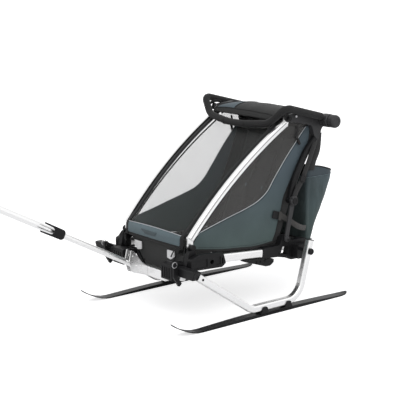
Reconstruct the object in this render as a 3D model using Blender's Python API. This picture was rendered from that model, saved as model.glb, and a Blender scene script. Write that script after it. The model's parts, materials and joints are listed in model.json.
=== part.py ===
"""Single-seat child bike trailer set up for winter: skis on swept arms instead of wheels, and a tow pole.

Metres, +Z up. The trailer travels towards -Y and its left side is +X. All sizes below are given in the
sled's own frame, whose Y zero is the middle of the skis and whose Z zero is the snow. The root empty then
moves the whole trailer so that its footprint is centred on the origin.
"""
import math

import bmesh
import bpy
from mathutils import Matrix, Vector

GAP = 0.0003                      # running gap between neighbouring pieces

# Skis
SKI_HALF_LENGTH = 0.530
SKI_X = 0.334
SKI_HALF_WIDTH = 0.0265
SKI_THICKNESS = 0.0135
SKI_TIP_RISE = 0.057
SKI_TIP_START = -0.375            # where the front of the ski leaves the snow
CLIP_Y = (-0.017, 0.128)

# Ski arms: rounded square tube bent in one plane
ARM_X = 0.342
ARM_SIZE = 0.032
ARM_CORNER = 0.007
ARM_WALL = 0.0025
ARM_FRONT = (-0.396, 0.2460)
ARM_TOE = (-0.087, 0.0415)
ARM_HEEL = (0.2005, 0.0415)
ARM_TOP = (0.2723, 0.3010)
ARM_TOE_RADIUS = 0.060
ARM_HEEL_RADIUS = 0.088
SLEEVE_Y = -0.408
SLEEVE_Z = 0.2525
SLEEVE_SIZE = 0.040
SLEEVE_END_X = 0.358

# Lower frame
RAIL_X = 0.2385
RAIL_WIDTH = 0.024
RAIL_HEIGHT = 0.038
RAIL_FRONT = (-0.3290, 0.2830)
RAIL_REAR = (0.0647, 0.2520)
HALF_CABIN = 0.205                # inside half width between the frame sides

# Folding side frames, as (y, z) of each pivot
POST_PIVOT = (-0.338, 0.343)
TOP_PIVOT = (0.215, 0.855)
BREAK_PIVOT = (0.243, 0.475)
LINK_PIVOT = (0.205, 0.300)
HUB = (0.435, 0.830)
POST_BOTTOM = (-0.3368, 0.3782)
POST_TOP = (0.2045, 0.8328)
POST_BOW = 0.0297
POST_WIDTH = 0.025
POST_DEPTH = 0.032
FRAME_X = 0.2385                  # centre plane of the top arms, uprights and the posts' upper ends
FOOT_X = 0.2225                   # centre plane of the posts' feet, which stand closer together
CHEEK = 0.0065                    # tongue half thickness in every knuckle
PIN_RADIUS = 0.005

# Handlebar
BAR_X = 0.2745
BAR_RADIUS = 0.011
FOAM_RADIUS = 0.0165
BAR_CORNER = (0.280, 0.168, 0.911)
GRIP_CORNER = (0.205, 0.137, 0.835)   # where the bar turns in to the grip
GRIP_MIDDLE = (0.0, 0.104, 0.812)
DRUM_RADIUS = 0.031
DRUM_OUTER_X = 0.300
BUTTON_TRAVEL = 0.004

# Tow pole
POLE_PIVOT = (-0.470, 0.2385)
POLE_PITCH = math.radians(27.5)
INNER_RADIUS = 0.0125
OUTER_RADIUS = 0.0152
CLAMP_START = 0.434               # along the pole from its pivot
OUTER_START = 0.462
INNER_END = 0.830
OUTER_END = 1.332
POLE_END = 1.422
END_RADIUS = 0.014

# Rear bag
BAG_REAR = 0.574
BAG_RIM_Z = 0.566

FRONT_Y = POLE_PIVOT[0] - POLE_END * math.cos(POLE_PITCH) - END_RADIUS * math.sin(POLE_PITCH)
FOOTPRINT_SHIFT = -(FRONT_Y + BAG_REAR) / 2


def clear_scene():
    for obj in list(bpy.data.objects):
        bpy.data.objects.remove(obj, do_unlink=True)


# Materials

def material(name, color, roughness, metallic=0.0):
    mat = bpy.data.materials.get(name)
    if mat is None:
        mat = bpy.data.materials.new(name)
        mat.use_nodes = True
        shader = mat.node_tree.nodes["Principled BSDF"]
        shader.inputs["Base Color"].default_value = (*color, 1.0)
        shader.inputs["Roughness"].default_value = roughness
        shader.inputs["Metallic"].default_value = metallic
    return mat


def aluminium():
    return material("bright_aluminium", (0.84, 0.84, 0.84), 0.30, 0.6)


def black_plastic():
    return material("black_plastic", (0.022, 0.022, 0.024), 0.45)


def grey_casting():
    return material("grey_casting", (0.055, 0.055, 0.058), 0.42)


def blue_fabric():
    return material("blue_grey_fabric", (0.078, 0.105, 0.108), 0.85)


def black_fabric():
    return material("black_fabric", (0.030, 0.031, 0.031), 0.90)


def foam():
    return material("black_foam", (0.018, 0.018, 0.019), 0.80)


def ski_plastic():
    return material("ski_black", (0.016, 0.017, 0.019), 0.35)


def steel():
    return material("zinc_steel", (0.55, 0.55, 0.56), 0.35, 1.0)


def reflector_lens():
    return material("reflector_lens", (0.75, 0.75, 0.76), 0.20)


# Outlines and paths

def circle(radius, count=16):
    return [(radius * math.cos(2 * math.pi * i / count), radius * math.sin(2 * math.pi * i / count))
            for i in range(count)]


def rounded_rect(width, height, radius, steps=3):
    """Counter-clockwise outline centred on zero, with steps + 1 points on each corner."""
    points = []
    centres = ((1, 1, 0), (-1, 1, 90), (-1, -1, 180), (1, -1, 270))
    for sx, sy, start in centres:
        cx = sx * (width / 2 - radius)
        cy = sy * (height / 2 - radius)
        for i in range(steps + 1):
            turn = math.radians(start + 90 * i / steps)
            points.append((cx + radius * math.cos(turn), cy + radius * math.sin(turn)))
    return points


def arc_corner(before, corner, after, radius, steps):
    """Points of the arc of that radius which rounds a corner of a path in space."""
    to_before = (before - corner).normalized()
    to_after = (after - corner).normalized()
    half = to_before.angle(to_after) / 2
    centre = corner + (to_before + to_after).normalized() * (radius / math.sin(half))
    start = corner + to_before * (radius / math.tan(half)) - centre
    axis = to_before.cross(to_after).normalized()
    sweep_angle = math.pi - 2 * half
    return [centre + Matrix.Rotation(-sweep_angle * i / steps, 3, axis) @ start for i in range(steps + 1)]


def rounded_path(corners, radii, steps=6):
    """A polyline through 3-D corners whose inner corners are arcs of the given radii."""
    points = [corners[0].copy()]
    for i, radius in enumerate(radii, start=1):
        points += arc_corner(corners[i - 1], corners[i], corners[i + 1], radius, steps)
    points.append(corners[-1].copy())
    return points


def in_plane(x, point):
    return Vector((x, point[0], point[1]))


def rounded_outline(corners, steps=4):
    """(y, z, radius) corners to a closed (y, z) outline; radius 0 keeps a sharp corner."""
    outline = []
    count = len(corners)
    for i, (y, z, radius) in enumerate(corners):
        here = in_plane(0, (y, z))
        if radius == 0:
            outline.append((y, z))
            continue
        before = in_plane(0, corners[i - 1][:2])
        after = in_plane(0, corners[(i + 1) % count][:2])
        outline += [(p.y, p.z) for p in arc_corner(before, here, after, radius, steps)]
    return outline


def bowed_line(start, end, bow, steps):
    """Points of a shallow arc from start to end, bowed to the left of the way it runs."""
    y0, z0 = start
    y1, z1 = end
    length = math.hypot(y1 - y0, z1 - z0)
    ny, nz = -(z1 - z0) / length, (y1 - y0) / length
    points = []
    for i in range(steps + 1):
        t = i / steps
        rise = bow * 4 * t * (1 - t)
        points.append((y0 + (y1 - y0) * t + ny * rise, z0 + (z1 - z0) * t + nz * rise))
    return points


# Mesh building

def make_object(name, bm, mat, smooth_angle=35):
    bmesh.ops.recalc_face_normals(bm, faces=bm.faces)
    mesh = bpy.data.meshes.new(name)
    bm.to_mesh(mesh)
    bm.free()
    obj = bpy.data.objects.new(name, mesh)
    bpy.context.scene.collection.objects.link(obj)
    mesh.materials.append(mat)
    mesh.shade_smooth()
    mesh.set_sharp_from_angle(angle=math.radians(smooth_angle))
    return obj


def loft(rings):
    """A closed solid through rings of equal point count, capped at both ends."""
    bm = bmesh.new()
    rows = [[bm.verts.new(p) for p in ring] for ring in rings]
    for row_a, row_b in zip(rows, rows[1:]):
        for i in range(len(row_a)):
            j = (i + 1) % len(row_a)
            bm.faces.new((row_a[i], row_a[j], row_b[j], row_b[i]))
    bm.faces.new(rows[0])
    bm.faces.new(rows[-1])
    return bm


def frames_along(path, side):
    """Position, side and normal at each point of a path, the side carried along without twist."""
    frames = []
    side = Vector(side)
    for i, point in enumerate(path):
        ahead = path[min(i + 1, len(path) - 1)] - point
        behind = point - path[max(i - 1, 0)]
        tangent = (ahead.normalized() + behind.normalized()).normalized()
        side = (side - tangent * side.dot(tangent)).normalized()
        stretch = 1.0
        if 0 < i < len(path) - 1:
            stretch = 1.0 / max(math.cos(ahead.angle(behind) / 2), 0.7)
        frames.append((point, side, tangent.cross(side), stretch))
    return frames


def sweep(path, section, side=(1, 0, 0)):
    rings = []
    for point, across, normal, _ in frames_along(path, side):
        rings.append([point + across * a + normal * b for a, b in section])
    return loft(rings)


def hollow_sweep(path, outer, inner, side=(1, 0, 0)):
    """A tube as one closed skin that turns in at both ends; outer and inner are sections of equal count."""
    bm = bmesh.new()
    frames = frames_along(path, side)
    skins = []
    for section in (outer, inner):
        skins.append([[bm.verts.new(p + a * u + n * v) for u, v in section] for p, a, n, _ in frames])
    count = len(outer)
    for rows in skins:
        for row_a, row_b in zip(rows, rows[1:]):
            for i in range(count):
                bm.faces.new((row_a[i], row_a[(i + 1) % count], row_b[(i + 1) % count], row_b[i]))
    for end in (0, -1):
        for i in range(count):
            j = (i + 1) % count
            bm.faces.new((skins[0][end][i], skins[0][end][j], skins[1][end][j], skins[1][end][i]))
    return bm


def pipe(path, outer, inner, count=12, side=(1, 0, 0)):
    return hollow_sweep(path, circle(outer, count), circle(inner, count), side)


def tube(path, width, height, corner, wall, side=(1, 0, 0)):
    """A rounded rectangular tube with a real bore."""
    inside = rounded_rect(width - 2 * wall, height - 2 * wall, corner - wall)
    return hollow_sweep(path, rounded_rect(width, height, corner), inside, side)


def prism(outline, x0, x1):
    """A (y, z) outline extruded across the trailer from x0 to x1."""
    return loft([[in_plane(x, p) for p in outline] for x in (x0, x1)])


def block(low, high):
    (x0, y0, z0), (x1, y1, z1) = low, high
    return prism([(y0, z0), (y1, z0), (y1, z1), (y0, z1)], x0, x1)


def turned(profile, centre, count=24):
    """A piece turned about an axis along X: profile holds (x, radius), centre is (y, z)."""
    rings = []
    for x, radius in profile:
        rings.append([Vector((x, centre[0] + u, centre[1] + v)) for u, v in circle(radius, count)])
    return loft(rings)


def turned_along(profile, start, direction, count=16):
    """A piece turned about any axis: profile holds (distance along it, radius)."""
    across = Vector((1, 0, 0))
    normal = direction.cross(across)
    rings = []
    for distance, radius in profile:
        middle = start + direction * distance
        rings.append([middle + across * u + normal * v for u, v in circle(radius, count)])
    return loft(rings)


def bake(obj):
    """Replaces an object's mesh by what its modifiers make of it."""
    graph = bpy.context.evaluated_depsgraph_get()
    mesh = bpy.data.meshes.new_from_object(obj.evaluated_get(graph))
    obj.modifiers.clear()
    obj.data = mesh
    return obj


def combine(obj, bm, operation):
    """Joins a solid to an object or cuts it away, then drops the solid."""
    tool = make_object("tool", bm, obj.data.materials[0])
    modifier = obj.modifiers.new(operation, "BOOLEAN")
    modifier.operation = operation
    modifier.solver = "EXACT"
    modifier.object = tool
    bpy.context.view_layer.update()
    bake(obj)
    bpy.data.objects.remove(tool, do_unlink=True)
    return obj


def cut(obj, bm):
    return combine(obj, bm, "DIFFERENCE")


def join(obj, bm):
    return combine(obj, bm, "UNION")


def soften(obj, width, segments=2, angle=40):
    modifier = obj.modifiers.new("soft edges", "BEVEL")
    modifier.width = width
    modifier.segments = segments
    modifier.limit_method = "ANGLE"
    modifier.angle_limit = math.radians(angle)
    bpy.context.view_layer.update()
    return bake(obj)


def both_sides(left):
    """Renames a left piece and makes its mirror image, as two separate pieces."""
    name = left.name
    left.name = name + "_left"
    mesh = left.data.copy()
    mesh.transform(Matrix.Scale(-1, 4, (1, 0, 0)))
    mesh.flip_normals()
    right = bpy.data.objects.new(name + "_right", mesh)
    bpy.context.scene.collection.objects.link(right)
    return [left, right]


# Skis and what carries them

def ski_station(y):
    """Half width, underside height and thickness of the ski at one place along it."""
    from_tip = y + SKI_HALF_LENGTH
    from_tail = SKI_HALF_LENGTH - y
    shovel = min(1.0, math.sqrt(from_tip / 0.085))
    heel = min(1.0, math.sqrt(from_tail / 0.040))
    waist = 1.0 - 0.10 * math.cos(math.pi * y / (2 * SKI_HALF_LENGTH)) ** 2
    half_width = max(0.0045, SKI_HALF_WIDTH * waist * shovel * heel)
    rise = 0.0
    if y < SKI_TIP_START:
        rise = SKI_TIP_RISE * ((SKI_TIP_START - y) / (SKI_HALF_LENGTH + SKI_TIP_START)) ** 2
    tail_start = 0.470
    if y > tail_start:
        rise = 0.006 * ((y - tail_start) / (SKI_HALF_LENGTH - tail_start)) ** 2
    bulk = math.cos(math.pi * (y - 0.05) / (2.3 * SKI_HALF_LENGTH)) ** 1.5
    thickness = max(0.0040, SKI_THICKNESS * min(1.0, 1.12 * max(bulk, 0.0)))
    return half_width, rise, thickness


def build_ski():
    stations = [-0.530, -0.522, -0.508, -0.490, -0.465, -0.435, -0.405, -0.375, -0.330, -0.270, -0.200,
                -0.120, -0.050, 0.020, 0.100, 0.180, 0.260, 0.340, 0.410, 0.470, 0.500, 0.520, 0.530]
    rings = []
    for y in stations:
        half, low, thick = ski_station(y)
        slope = half * 0.16
        rings.append([Vector((SKI_X + x, y, low + z)) for x, z in (
            (-half, 0.0), (half, 0.0), (half, thick * 0.55), (half - slope, thick), (-half + slope, thick),
            (-half, thick * 0.55))])
    return both_sides(make_object("ski", loft(rings), ski_plastic(), 30))


def arm_path():
    corners = [in_plane(ARM_X, p) for p in (ARM_FRONT, ARM_TOE, ARM_HEEL, ARM_TOP)]
    return rounded_path(corners, (ARM_TOE_RADIUS, ARM_HEEL_RADIUS), 7)


def build_ski_arm():
    """Bent extrusion, hollow from its front end to just under the end cap."""
    arm = make_object("ski_arm", sweep(arm_path(), rounded_rect(ARM_SIZE, ARM_SIZE, ARM_CORNER)), aluminium())
    inside = arm_path()
    inside[0] += (inside[0] - inside[1]).normalized() * 0.002
    inside[-1] += (inside[-2] - inside[-1]).normalized() * 0.080
    bore = ARM_SIZE - 2 * ARM_WALL
    cut(arm, sweep(inside, rounded_rect(bore, bore, ARM_CORNER - ARM_WALL)))
    cut(arm, turned([(ARM_X - ARM_SIZE, 0.0092), (ARM_X + ARM_SIZE, 0.0092)], axle_centre(), 20))
    return both_sides(arm)


def axle_centre():
    """Where the axle pin crosses the top of the ski arm, as (y, z)."""
    along = 0.050 / math.dist(ARM_HEEL, ARM_TOP)
    return tuple(t + (h - t) * along for t, h in zip(ARM_TOP, ARM_HEEL))


def build_axle_pin():
    """Turned pin with its round push knob: through the arm and into the housing."""
    face = ARM_X + ARM_SIZE / 2 + GAP
    profile = [(0.2735, 0.0070), (0.2760, 0.0088), (face, 0.0088), (face, 0.0130), (face + 0.003, 0.0148),
               (face + 0.010, 0.0148), (face + 0.013, 0.0125), (face + 0.013, 0.0085), (face + 0.0115, 0.0075)]
    return both_sides(make_object("axle_pin", turned(profile, axle_centre()), steel()))


def build_ski_clip():
    """Saddle on the ski: two pairs of half-round ears that hold the arm's flat run, on one base strip."""
    low = SKI_THICKNESS + GAP
    half = ARM_SIZE / 2 + 0.0045
    first, last = CLIP_Y
    clip = make_object("ski_clip", prism([(first - 0.026, low), (last + 0.026, low), (last + 0.026, low + 0.004),
                                          (first - 0.026, low + 0.004)], ARM_X - half, ARM_X + half), black_plastic())
    for y in CLIP_Y:
        ear = rounded_outline([(y - 0.026, low, 0), (y + 0.026, low, 0), (y + 0.019, low + 0.006, 0.008),
                               (y + 0.013, 0.0440, 0.010), (y - 0.013, 0.0440, 0.010), (y - 0.019, low + 0.006, 0.008)])
        join(clip, prism(ear, ARM_X - half, ARM_X + half))
    channel = ARM_SIZE + 2 * GAP
    path = [in_plane(ARM_X, (first - 0.04, ARM_TOE[1])), in_plane(ARM_X, (last + 0.04, ARM_TOE[1]))]
    cut(clip, sweep(path, rounded_rect(channel, channel, ARM_CORNER)))
    cut(clip, block((ARM_X - channel / 2, first - 0.04, ARM_TOE[1]), (ARM_X + channel / 2, last + 0.04, 0.06)))
    return both_sides(clip)


def build_arm_sleeve():
    """Black elbow that turns the arm inwards: a square bar with a socket for the arm's front end."""
    inner, step, outer = 0.0340, 0.0050, SLEEVE_SIZE
    stations = [(CONNECTOR_OUTER + GAP, inner), (0.2300, inner), (0.2300 + step, outer)]
    rings = []
    for x, size in stations:
        rings.append([Vector((x, SLEEVE_Y + u, SLEEVE_Z + v)) for u, v in rounded_rect(size, size, 0.007)])
    slant = 0.45
    for x, size in ((SLEEVE_END_X - 0.003, outer), (SLEEVE_END_X, outer - 0.006)):
        rings.append([Vector((x + v * slant, SLEEVE_Y + u, SLEEVE_Z + v))
                      for u, v in rounded_rect(size, size, 0.007)])
    sleeve = make_object("arm_sleeve", loft(rings), black_plastic())
    y, z = LEVER_PIVOT
    ear = rounded_outline([(SLEEVE_Y - 0.005, SLEEVE_Z + 0.010, 0), (SLEEVE_Y - 0.005, SLEEVE_Z + 0.024, 0.004),
                           (y - 0.008, z + 0.0095, 0.007), (y - 0.008, z - 0.0090, 0.007),
                           (SLEEVE_Y - 0.018, SLEEVE_Z + 0.010, 0)])
    join(sleeve, prism(ear, LEVER_X - LEVER_HALF - 0.010, LEVER_X - LEVER_HALF - GAP))
    join(sleeve, turned([(LEVER_X - LEVER_HALF - 0.002, 0.0045), (LEVER_X + LEVER_HALF + 0.003, 0.0045)],
                        LEVER_PIVOT, 14))
    front, toe = in_plane(ARM_X, ARM_FRONT), in_plane(ARM_X, ARM_TOE)
    back = front + (front - toe).normalized() * GAP
    size = ARM_SIZE + 2 * GAP
    cut(sleeve, sweep([back, front.lerp(toe, 0.3)], rounded_rect(size, size, ARM_CORNER)))
    return both_sides(sleeve)


# Tow beam, connectors and levers

BEAM_HALF = 0.1400
BEAM_FRONT = -0.4120
BEAM_REAR = -0.3860
BEAM_LOW, BEAM_HIGH = 0.185, 0.2285
CONNECTOR_OUTER = 0.2155


def build_tow_beam():
    """White cross beam between the connectors, hollow at the back."""
    outline = rounded_outline([(BEAM_FRONT, BEAM_LOW, 0.004), (BEAM_REAR, BEAM_LOW, 0.004),
                               (BEAM_REAR, BEAM_HIGH, 0.004), (BEAM_FRONT, BEAM_HIGH, 0.004)], 2)
    beam = make_object("tow_beam", prism(outline, -BEAM_HALF, BEAM_HALF), aluminium())
    wall = 0.004
    return [cut(beam, block((-BEAM_HALF + 0.006, BEAM_FRONT + wall, BEAM_LOW + wall),
                            (BEAM_HALF - 0.006, BEAM_REAR + 0.01, BEAM_HIGH - wall)))]


def build_tow_yoke():
    """Two raked cheeks on the beam that take the pole's pivot pin, with an upper hole for the transport lock."""
    back = BEAM_FRONT - GAP
    cheek = rounded_outline([(back, BEAM_LOW + 0.002, 0), (back, BEAM_HIGH + 0.001, 0), (-0.4400, 0.2490, 0.020),
                             (-0.4860, 0.3080, 0.003), (-0.5000, 0.3150, 0.003), (-0.5120, 0.2640, 0.010),
                             (-0.4960, 0.2140, 0.012)])
    inner = INNER_RADIUS + 0.0012
    thick = 0.0040
    yoke = make_object("tow_yoke", prism(cheek, -inner - thick, inner + thick), aluminium(), 30)
    cut(yoke, block((-inner, -0.60, 0.10), (inner, BEAM_FRONT - 0.005, 0.40)))
    cut(yoke, turned([(-0.05, 0.0042), (0.05, 0.0042)], (-0.4940, 0.2880), 14))
    join(yoke, turned([(-inner - thick - 0.003, PIN_RADIUS), (inner + thick + 0.003, PIN_RADIUS)], POLE_PIVOT, 14))
    return [yoke]


def build_connector():
    """Quick-release block that hangs on the front cross member and holds the end of the tow beam."""
    outline = rounded_outline([(-0.4330, 0.2030, 0.008), (-0.3930, 0.2060, 0.004), (-0.3930, 0.2380, 0.004),
                               (-0.3518, 0.2460, 0), (-0.3518, 0.2640, 0), (-0.4000, 0.2770, 0.010),
                               (-0.4330, 0.2740, 0.008)])
    connector = make_object("ski_connector", prism(outline, BEAM_HALF + GAP, CONNECTOR_OUTER), black_plastic())
    soften(connector, 0.0015, 1)
    pitch = 0.0155
    for i in range(4):
        x = BEAM_HALF + 0.0095 + i * pitch
        cut(connector, block((x, -0.45, 0.214), (x + 0.0085, -0.4305, 0.262)))
    return both_sides(connector)


def build_hanger_plate():
    """Small bright gusset between the connector and the sleeve, fixed to the front cross member."""
    outline = rounded_outline([(-0.3900, 0.2460, 0.003), (-0.3920, 0.2020, 0.006), (-0.3660, 0.1960, 0.006),
                               (-0.3520, 0.2200, 0.004), (-0.3520, 0.2560, 0)])
    return both_sides(make_object("hanger_plate", prism(outline, 0.2185, 0.2235), aluminium()))


LEVER_PIVOT = (-0.4430, 0.2860)
LEVER_X = 0.2520
LEVER_HALF = 0.0055


def build_release_lever():
    """Curved pull lever hanging in front of the sleeve, its finger hook bent back under it."""
    y, z = LEVER_PIVOT
    outline = rounded_outline([(y - 0.011, z + 0.010, 0.008), (y + 0.010, z + 0.010, 0.008),
                               (y + 0.0105, z - 0.012, 0), (y + 0.0135, z - 0.055, 0.020), (y + 0.034, z - 0.086, 0.004),
                               (y + 0.018, z - 0.098, 0.004), (y - 0.010, z - 0.052, 0.020)], 4)
    lever = make_object("release_lever", prism(outline, LEVER_X - LEVER_HALF, LEVER_X + LEVER_HALF),
                        black_plastic())
    cut(lever, turned([(0.20, 0.0050), (0.30, 0.0050)], LEVER_PIVOT, 16))
    return both_sides(lever)


# Tow pole

def pole_frame():
    start = in_plane(0, POLE_PIVOT)
    return start, Vector((0, -math.cos(POLE_PITCH), math.sin(POLE_PITCH)))


def build_pole_inner_tube():
    start, along = pole_frame()
    tube = make_object("pole_inner_tube", turned_along([(-0.012, INNER_RADIUS - 0.003), (-0.008, INNER_RADIUS),
                                                        (INNER_END, INNER_RADIUS)], start, along, 20), aluminium())
    cut(tube, turned([(-0.03, PIN_RADIUS + 0.0004), (0.03, PIN_RADIUS + 0.0004)], POLE_PIVOT, 14))
    return [tube]


def build_pole_outer_tube():
    start, along = pole_frame()
    path = [start + along * d for d in (OUTER_START, OUTER_END)]
    return [make_object("pole_outer_tube", pipe(path, OUTER_RADIUS, INNER_RADIUS + GAP, 20), aluminium())]


def build_pole_clamp():
    """Split collar at the mouth of the outer tube, with the lugs that its lever draws together."""
    start, along = pole_frame()
    clamp = make_object("pole_clamp", turned_along([(CLAMP_START, 0.0205), (OUTER_START - GAP, 0.0205)],
                                                   start, along, 20), black_plastic())
    lug = rounded_rect(0.014, 0.036, 0.004)
    middle = start + Vector((0.0155, 0, 0))
    path = [middle + along * (CLAMP_START + 0.004), middle + along * (OUTER_START - GAP - 0.002)]
    join(clamp, sweep(path, lug))
    cut(clamp, turned_along([(CLAMP_START - 0.01, INNER_RADIUS + GAP), (OUTER_START + 0.02, INNER_RADIUS + GAP)],
                            start, along, 20))
    return [clamp]


CLAMP_LEVER_X = (0.0232, 0.0290)
CLAMP_LEVER_HINGE = 0.4480


def build_clamp_lever():
    """Forked cam lever that lies along the outer tube."""
    start, along = pole_frame()
    up = Vector((0, math.sin(POLE_PITCH), math.cos(POLE_PITCH)))
    half = 0.0220
    slot = 0.0145
    root, saddle, tip = 0.4285, 0.4960, 0.5450
    turns = 6
    corner = 0.016
    outline = []
    for centre_n, first in ((-half + corner, 270), (half - corner, 180)):
        for i in range(turns + 1):
            turn = math.radians(first - 90 * i / turns)
            outline.append((root + corner + corner * math.cos(turn), centre_n + corner * math.sin(turn)))
    outline += [(tip - 0.004, half + 0.001), (tip, half - 0.003), (tip - 0.004, slot + 0.002), (saddle, slot)]
    outline += [(saddle - slot * math.sin(math.pi * i / turns), slot * math.cos(math.pi * i / turns))
                for i in range(1, turns)]
    outline += [(saddle, -slot), (tip + 0.004, -slot - 0.002), (tip + 0.008, -half + 0.003), (tip, -half - 0.001)]
    rings = []
    for x in CLAMP_LEVER_X:
        rings.append([start + along * s + up * n + Vector((x, 0, 0)) for s, n in outline])
    return [make_object("clamp_lever", loft(rings), black_plastic(), 30)]


def build_pole_end():
    """Plug and flat eye at the front end of the pole, where the skier's belt hooks on."""
    start, along = pole_frame()
    end = make_object("pole_end_eye", turned_along([(OUTER_END + GAP, OUTER_RADIUS), (OUTER_END + 0.028, OUTER_RADIUS),
                                                    (OUTER_END + 0.034, END_RADIUS - 0.001),
                                                    (POLE_END, END_RADIUS)], start, along, 20), black_plastic())
    up = Vector((0, math.sin(POLE_PITCH), math.cos(POLE_PITCH)))
    for side in (-1, 1):
        middle = start + along * (POLE_END - 0.022) + Vector((side * 0.016, 0, 0))
        rings = [[middle + along * u + up * n + Vector((x, 0, 0)) for u, n in
                  ((-0.030, -0.02), (0.030, -0.02), (0.030, 0.02), (-0.030, 0.02))] for x in (-0.009, 0.009)]
        cut(end, loft(rings))
    eye = start + along * (POLE_END - 0.020)
    cut(end, turned([(-0.05, 0.0055), (0.05, 0.0055)], (eye.y, eye.z), 14))
    return [end]


# Lower frame

def rail_end(end, beyond, up):
    """A (y, z) point on the square end of the side rail: so far beyond it and so far up its face."""
    y, z = Vector(RAIL_REAR) - Vector(RAIL_FRONT)
    length = math.hypot(y, z)
    return end[0] + (y * beyond - z * up) / length, end[1] + (z * beyond + y * up) / length


def build_side_rail():
    """Open-ended rectangular tube that slopes down to the rear."""
    path = [in_plane(RAIL_X, RAIL_FRONT), in_plane(RAIL_X, RAIL_REAR)]
    return both_sides(make_object("side_rail", tube(path, RAIL_WIDTH, RAIL_HEIGHT, 0.006, 0.0025), aluminium()))


def build_front_cross_member():
    """Cross tube between the front corners, dropped in the middle to pass under the footwell."""
    y = -0.3418
    corners = [Vector((0.2250, y, 0.2575)), Vector((0.1500, y, 0.2575)), Vector((0.0900, y, 0.1920))]
    corners += [Vector((-p.x, p.y, p.z)) for p in reversed(corners)]
    path = rounded_path(corners, (0.030, 0.030, 0.030, 0.030), 4)
    return [make_object("front_cross_member", sweep(path, rounded_rect(0.0190, 0.0210, 0.005), (0, 1, 0)),
                        black_plastic())]


def build_front_corner():
    """Cast corner: a foot that takes the side rail, and a fork above and inside it for the post's knuckle."""
    foot = rounded_outline([(-0.3812, 0.2560, 0.008), (*rail_end(RAIL_FRONT, -GAP, -0.0320), 0.004),
                            (*rail_end(RAIL_FRONT, -GAP, 0.0240), 0.004), (-0.3300, 0.3360, 0.010),
                            (-0.3620, 0.3330, 0.014)])
    low, high = FRAME_X - RAIL_WIDTH / 2, FRAME_X + RAIL_WIDTH / 2
    corner = make_object("front_corner", prism(foot, low, high), black_plastic())
    inner, outer = FOOT_X - 0.0125, FOOT_X + 0.0125
    y, z = POST_PIVOT
    fork = rounded_outline([(y - 0.0280, 0.2700, 0.006), (y + 0.0060, 0.2700, 0), (y + 0.0060, z - 0.0370, 0),
                            (y + 0.0240, z - 0.0350, 0.006), (y + 0.0185, z + 0.0020, 0.010),
                            (y - 0.0010, z + 0.0190, 0.0185), (y - 0.0210, z, 0.014)])
    join(corner, prism(fork, inner, outer))
    slot = CHEEK + GAP
    cut(corner, block((FOOT_X - slot, -0.42, 0.3160), (FOOT_X + slot, -0.28, 0.40)))
    join(corner, turned([(inner - 0.001, PIN_RADIUS), (outer - 0.001, PIN_RADIUS), (outer, 0.0140),
                         (high - 0.001, 0.0140), (high + 0.001, 0.0115)], POST_PIVOT, 18))
    return both_sides(corner)


def build_accessory_socket():
    """Moulded receiver on the side rail, with the round and slotted seats for a plug-in wheel arm."""
    x0, x1 = FRAME_X + RAIL_WIDTH / 2 + GAP, 0.2760
    outline = rounded_outline([(-0.3740, 0.2500, 0.010), (-0.1960, 0.2410, 0.008), (-0.1740, 0.2560, 0.004),
                               (-0.1900, 0.3070, 0.006), (-0.3300, 0.3160, 0.010), (-0.3740, 0.3000, 0.010)])
    socket = make_object("accessory_socket", prism(outline, x0, x1), black_plastic())
    soften(socket, 0.0020, 1)
    cut(socket, turned([(x0 + 0.003, 0.0105), (0.30, 0.0105)], (-0.2560, 0.2740), 20))
    for y0, y1 in ((-0.3560, -0.2820), (-0.2340, -0.2060)):
        cut(socket, block((x1 - 0.0035, y0, 0.2560), (x1 + 0.01, y1, 0.2920)))
    cut(socket, block((x0 + 0.003, -0.1985, 0.2560), (0.30, -0.1915, 0.2840)))
    return both_sides(socket)


def build_rail_skid():
    x0, x1 = 0.2300, 0.2580
    outline = rounded_outline([(-0.0520, 0.2410, 0.002), (-0.0500, 0.2340, 0.003), (0.0800, 0.1920, 0.006),
                               (0.1080, 0.1920, 0.006), (0.1280, 0.2050, 0.004), (0.1280, 0.2195, 0),
                               (0.0625, 0.2250, 0), (0.0610, 0.2320, 0)])
    skid = make_object("rail_skid", prism(outline, x0, x1), black_plastic())
    for i in range(3):
        y = 0.010 + i * 0.026
        cut(skid, block((x1 - 0.003, y, 0.2140), (x1 + 0.01, y + 0.014, 0.2260)))
    return both_sides(skid)


def build_axle_housing():
    """Rear casting: a sleeve on the rail, a neck with the link's lug, and the block that holds the axle pin."""
    low, high = 0.2200, 0.2515
    outline = rounded_outline([(*rail_end(RAIL_REAR, GAP, -0.0230), 0.003), (0.1560, 0.2220, 0.006),
                               (0.2200, 0.2080, 0.012), (0.2420, 0.1960, 0.010), (0.3250, 0.1930, 0.012),
                               (0.3370, 0.2060, 0.010), (0.3370, 0.2860, 0.008), (0.2450, 0.2860, 0.008),
                               (0.2240, 0.3160, 0.012), (0.1900, 0.3160, 0.014), (0.1700, 0.2740, 0.010),
                               (*rail_end(RAIL_REAR, GAP, 0.0230), 0.003)])
    housing = make_object("axle_housing", prism(outline, low, high), black_plastic())
    window = rounded_outline([(0.1760, 0.2300, 0.004), (0.2200, 0.2250, 0.004), (0.2300, 0.2620, 0.004),
                              (0.1880, 0.2660, 0.004)], 2)
    cut(housing, prism(window, low - 0.01, high + 0.01))
    boss = rounded_outline([(0.2460, 0.2050, 0.008), (0.3180, 0.2030, 0.008), (0.3260, 0.2700, 0.010),
                            (0.2460, 0.2700, 0.010)], 3)
    join(housing, prism(boss, high - 0.001, 0.2900))
    cut(housing, turned([(0.2700, 0.0092), (0.32, 0.0092)], axle_centre(), 20))
    cut(housing, turned([(0.20, PIN_RADIUS + GAP), (0.26, PIN_RADIUS + GAP)], LINK_PIVOT, 14))
    return both_sides(housing)


def build_axle_beam():
    path = [Vector((-0.2197, 0.2900, 0.2300)), Vector((0.2197, 0.2900, 0.2300))]
    return [make_object("axle_beam", tube(path, 0.030, 0.034, 0.010, 0.0030, (0, 1, 0)), aluminium())]


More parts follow.
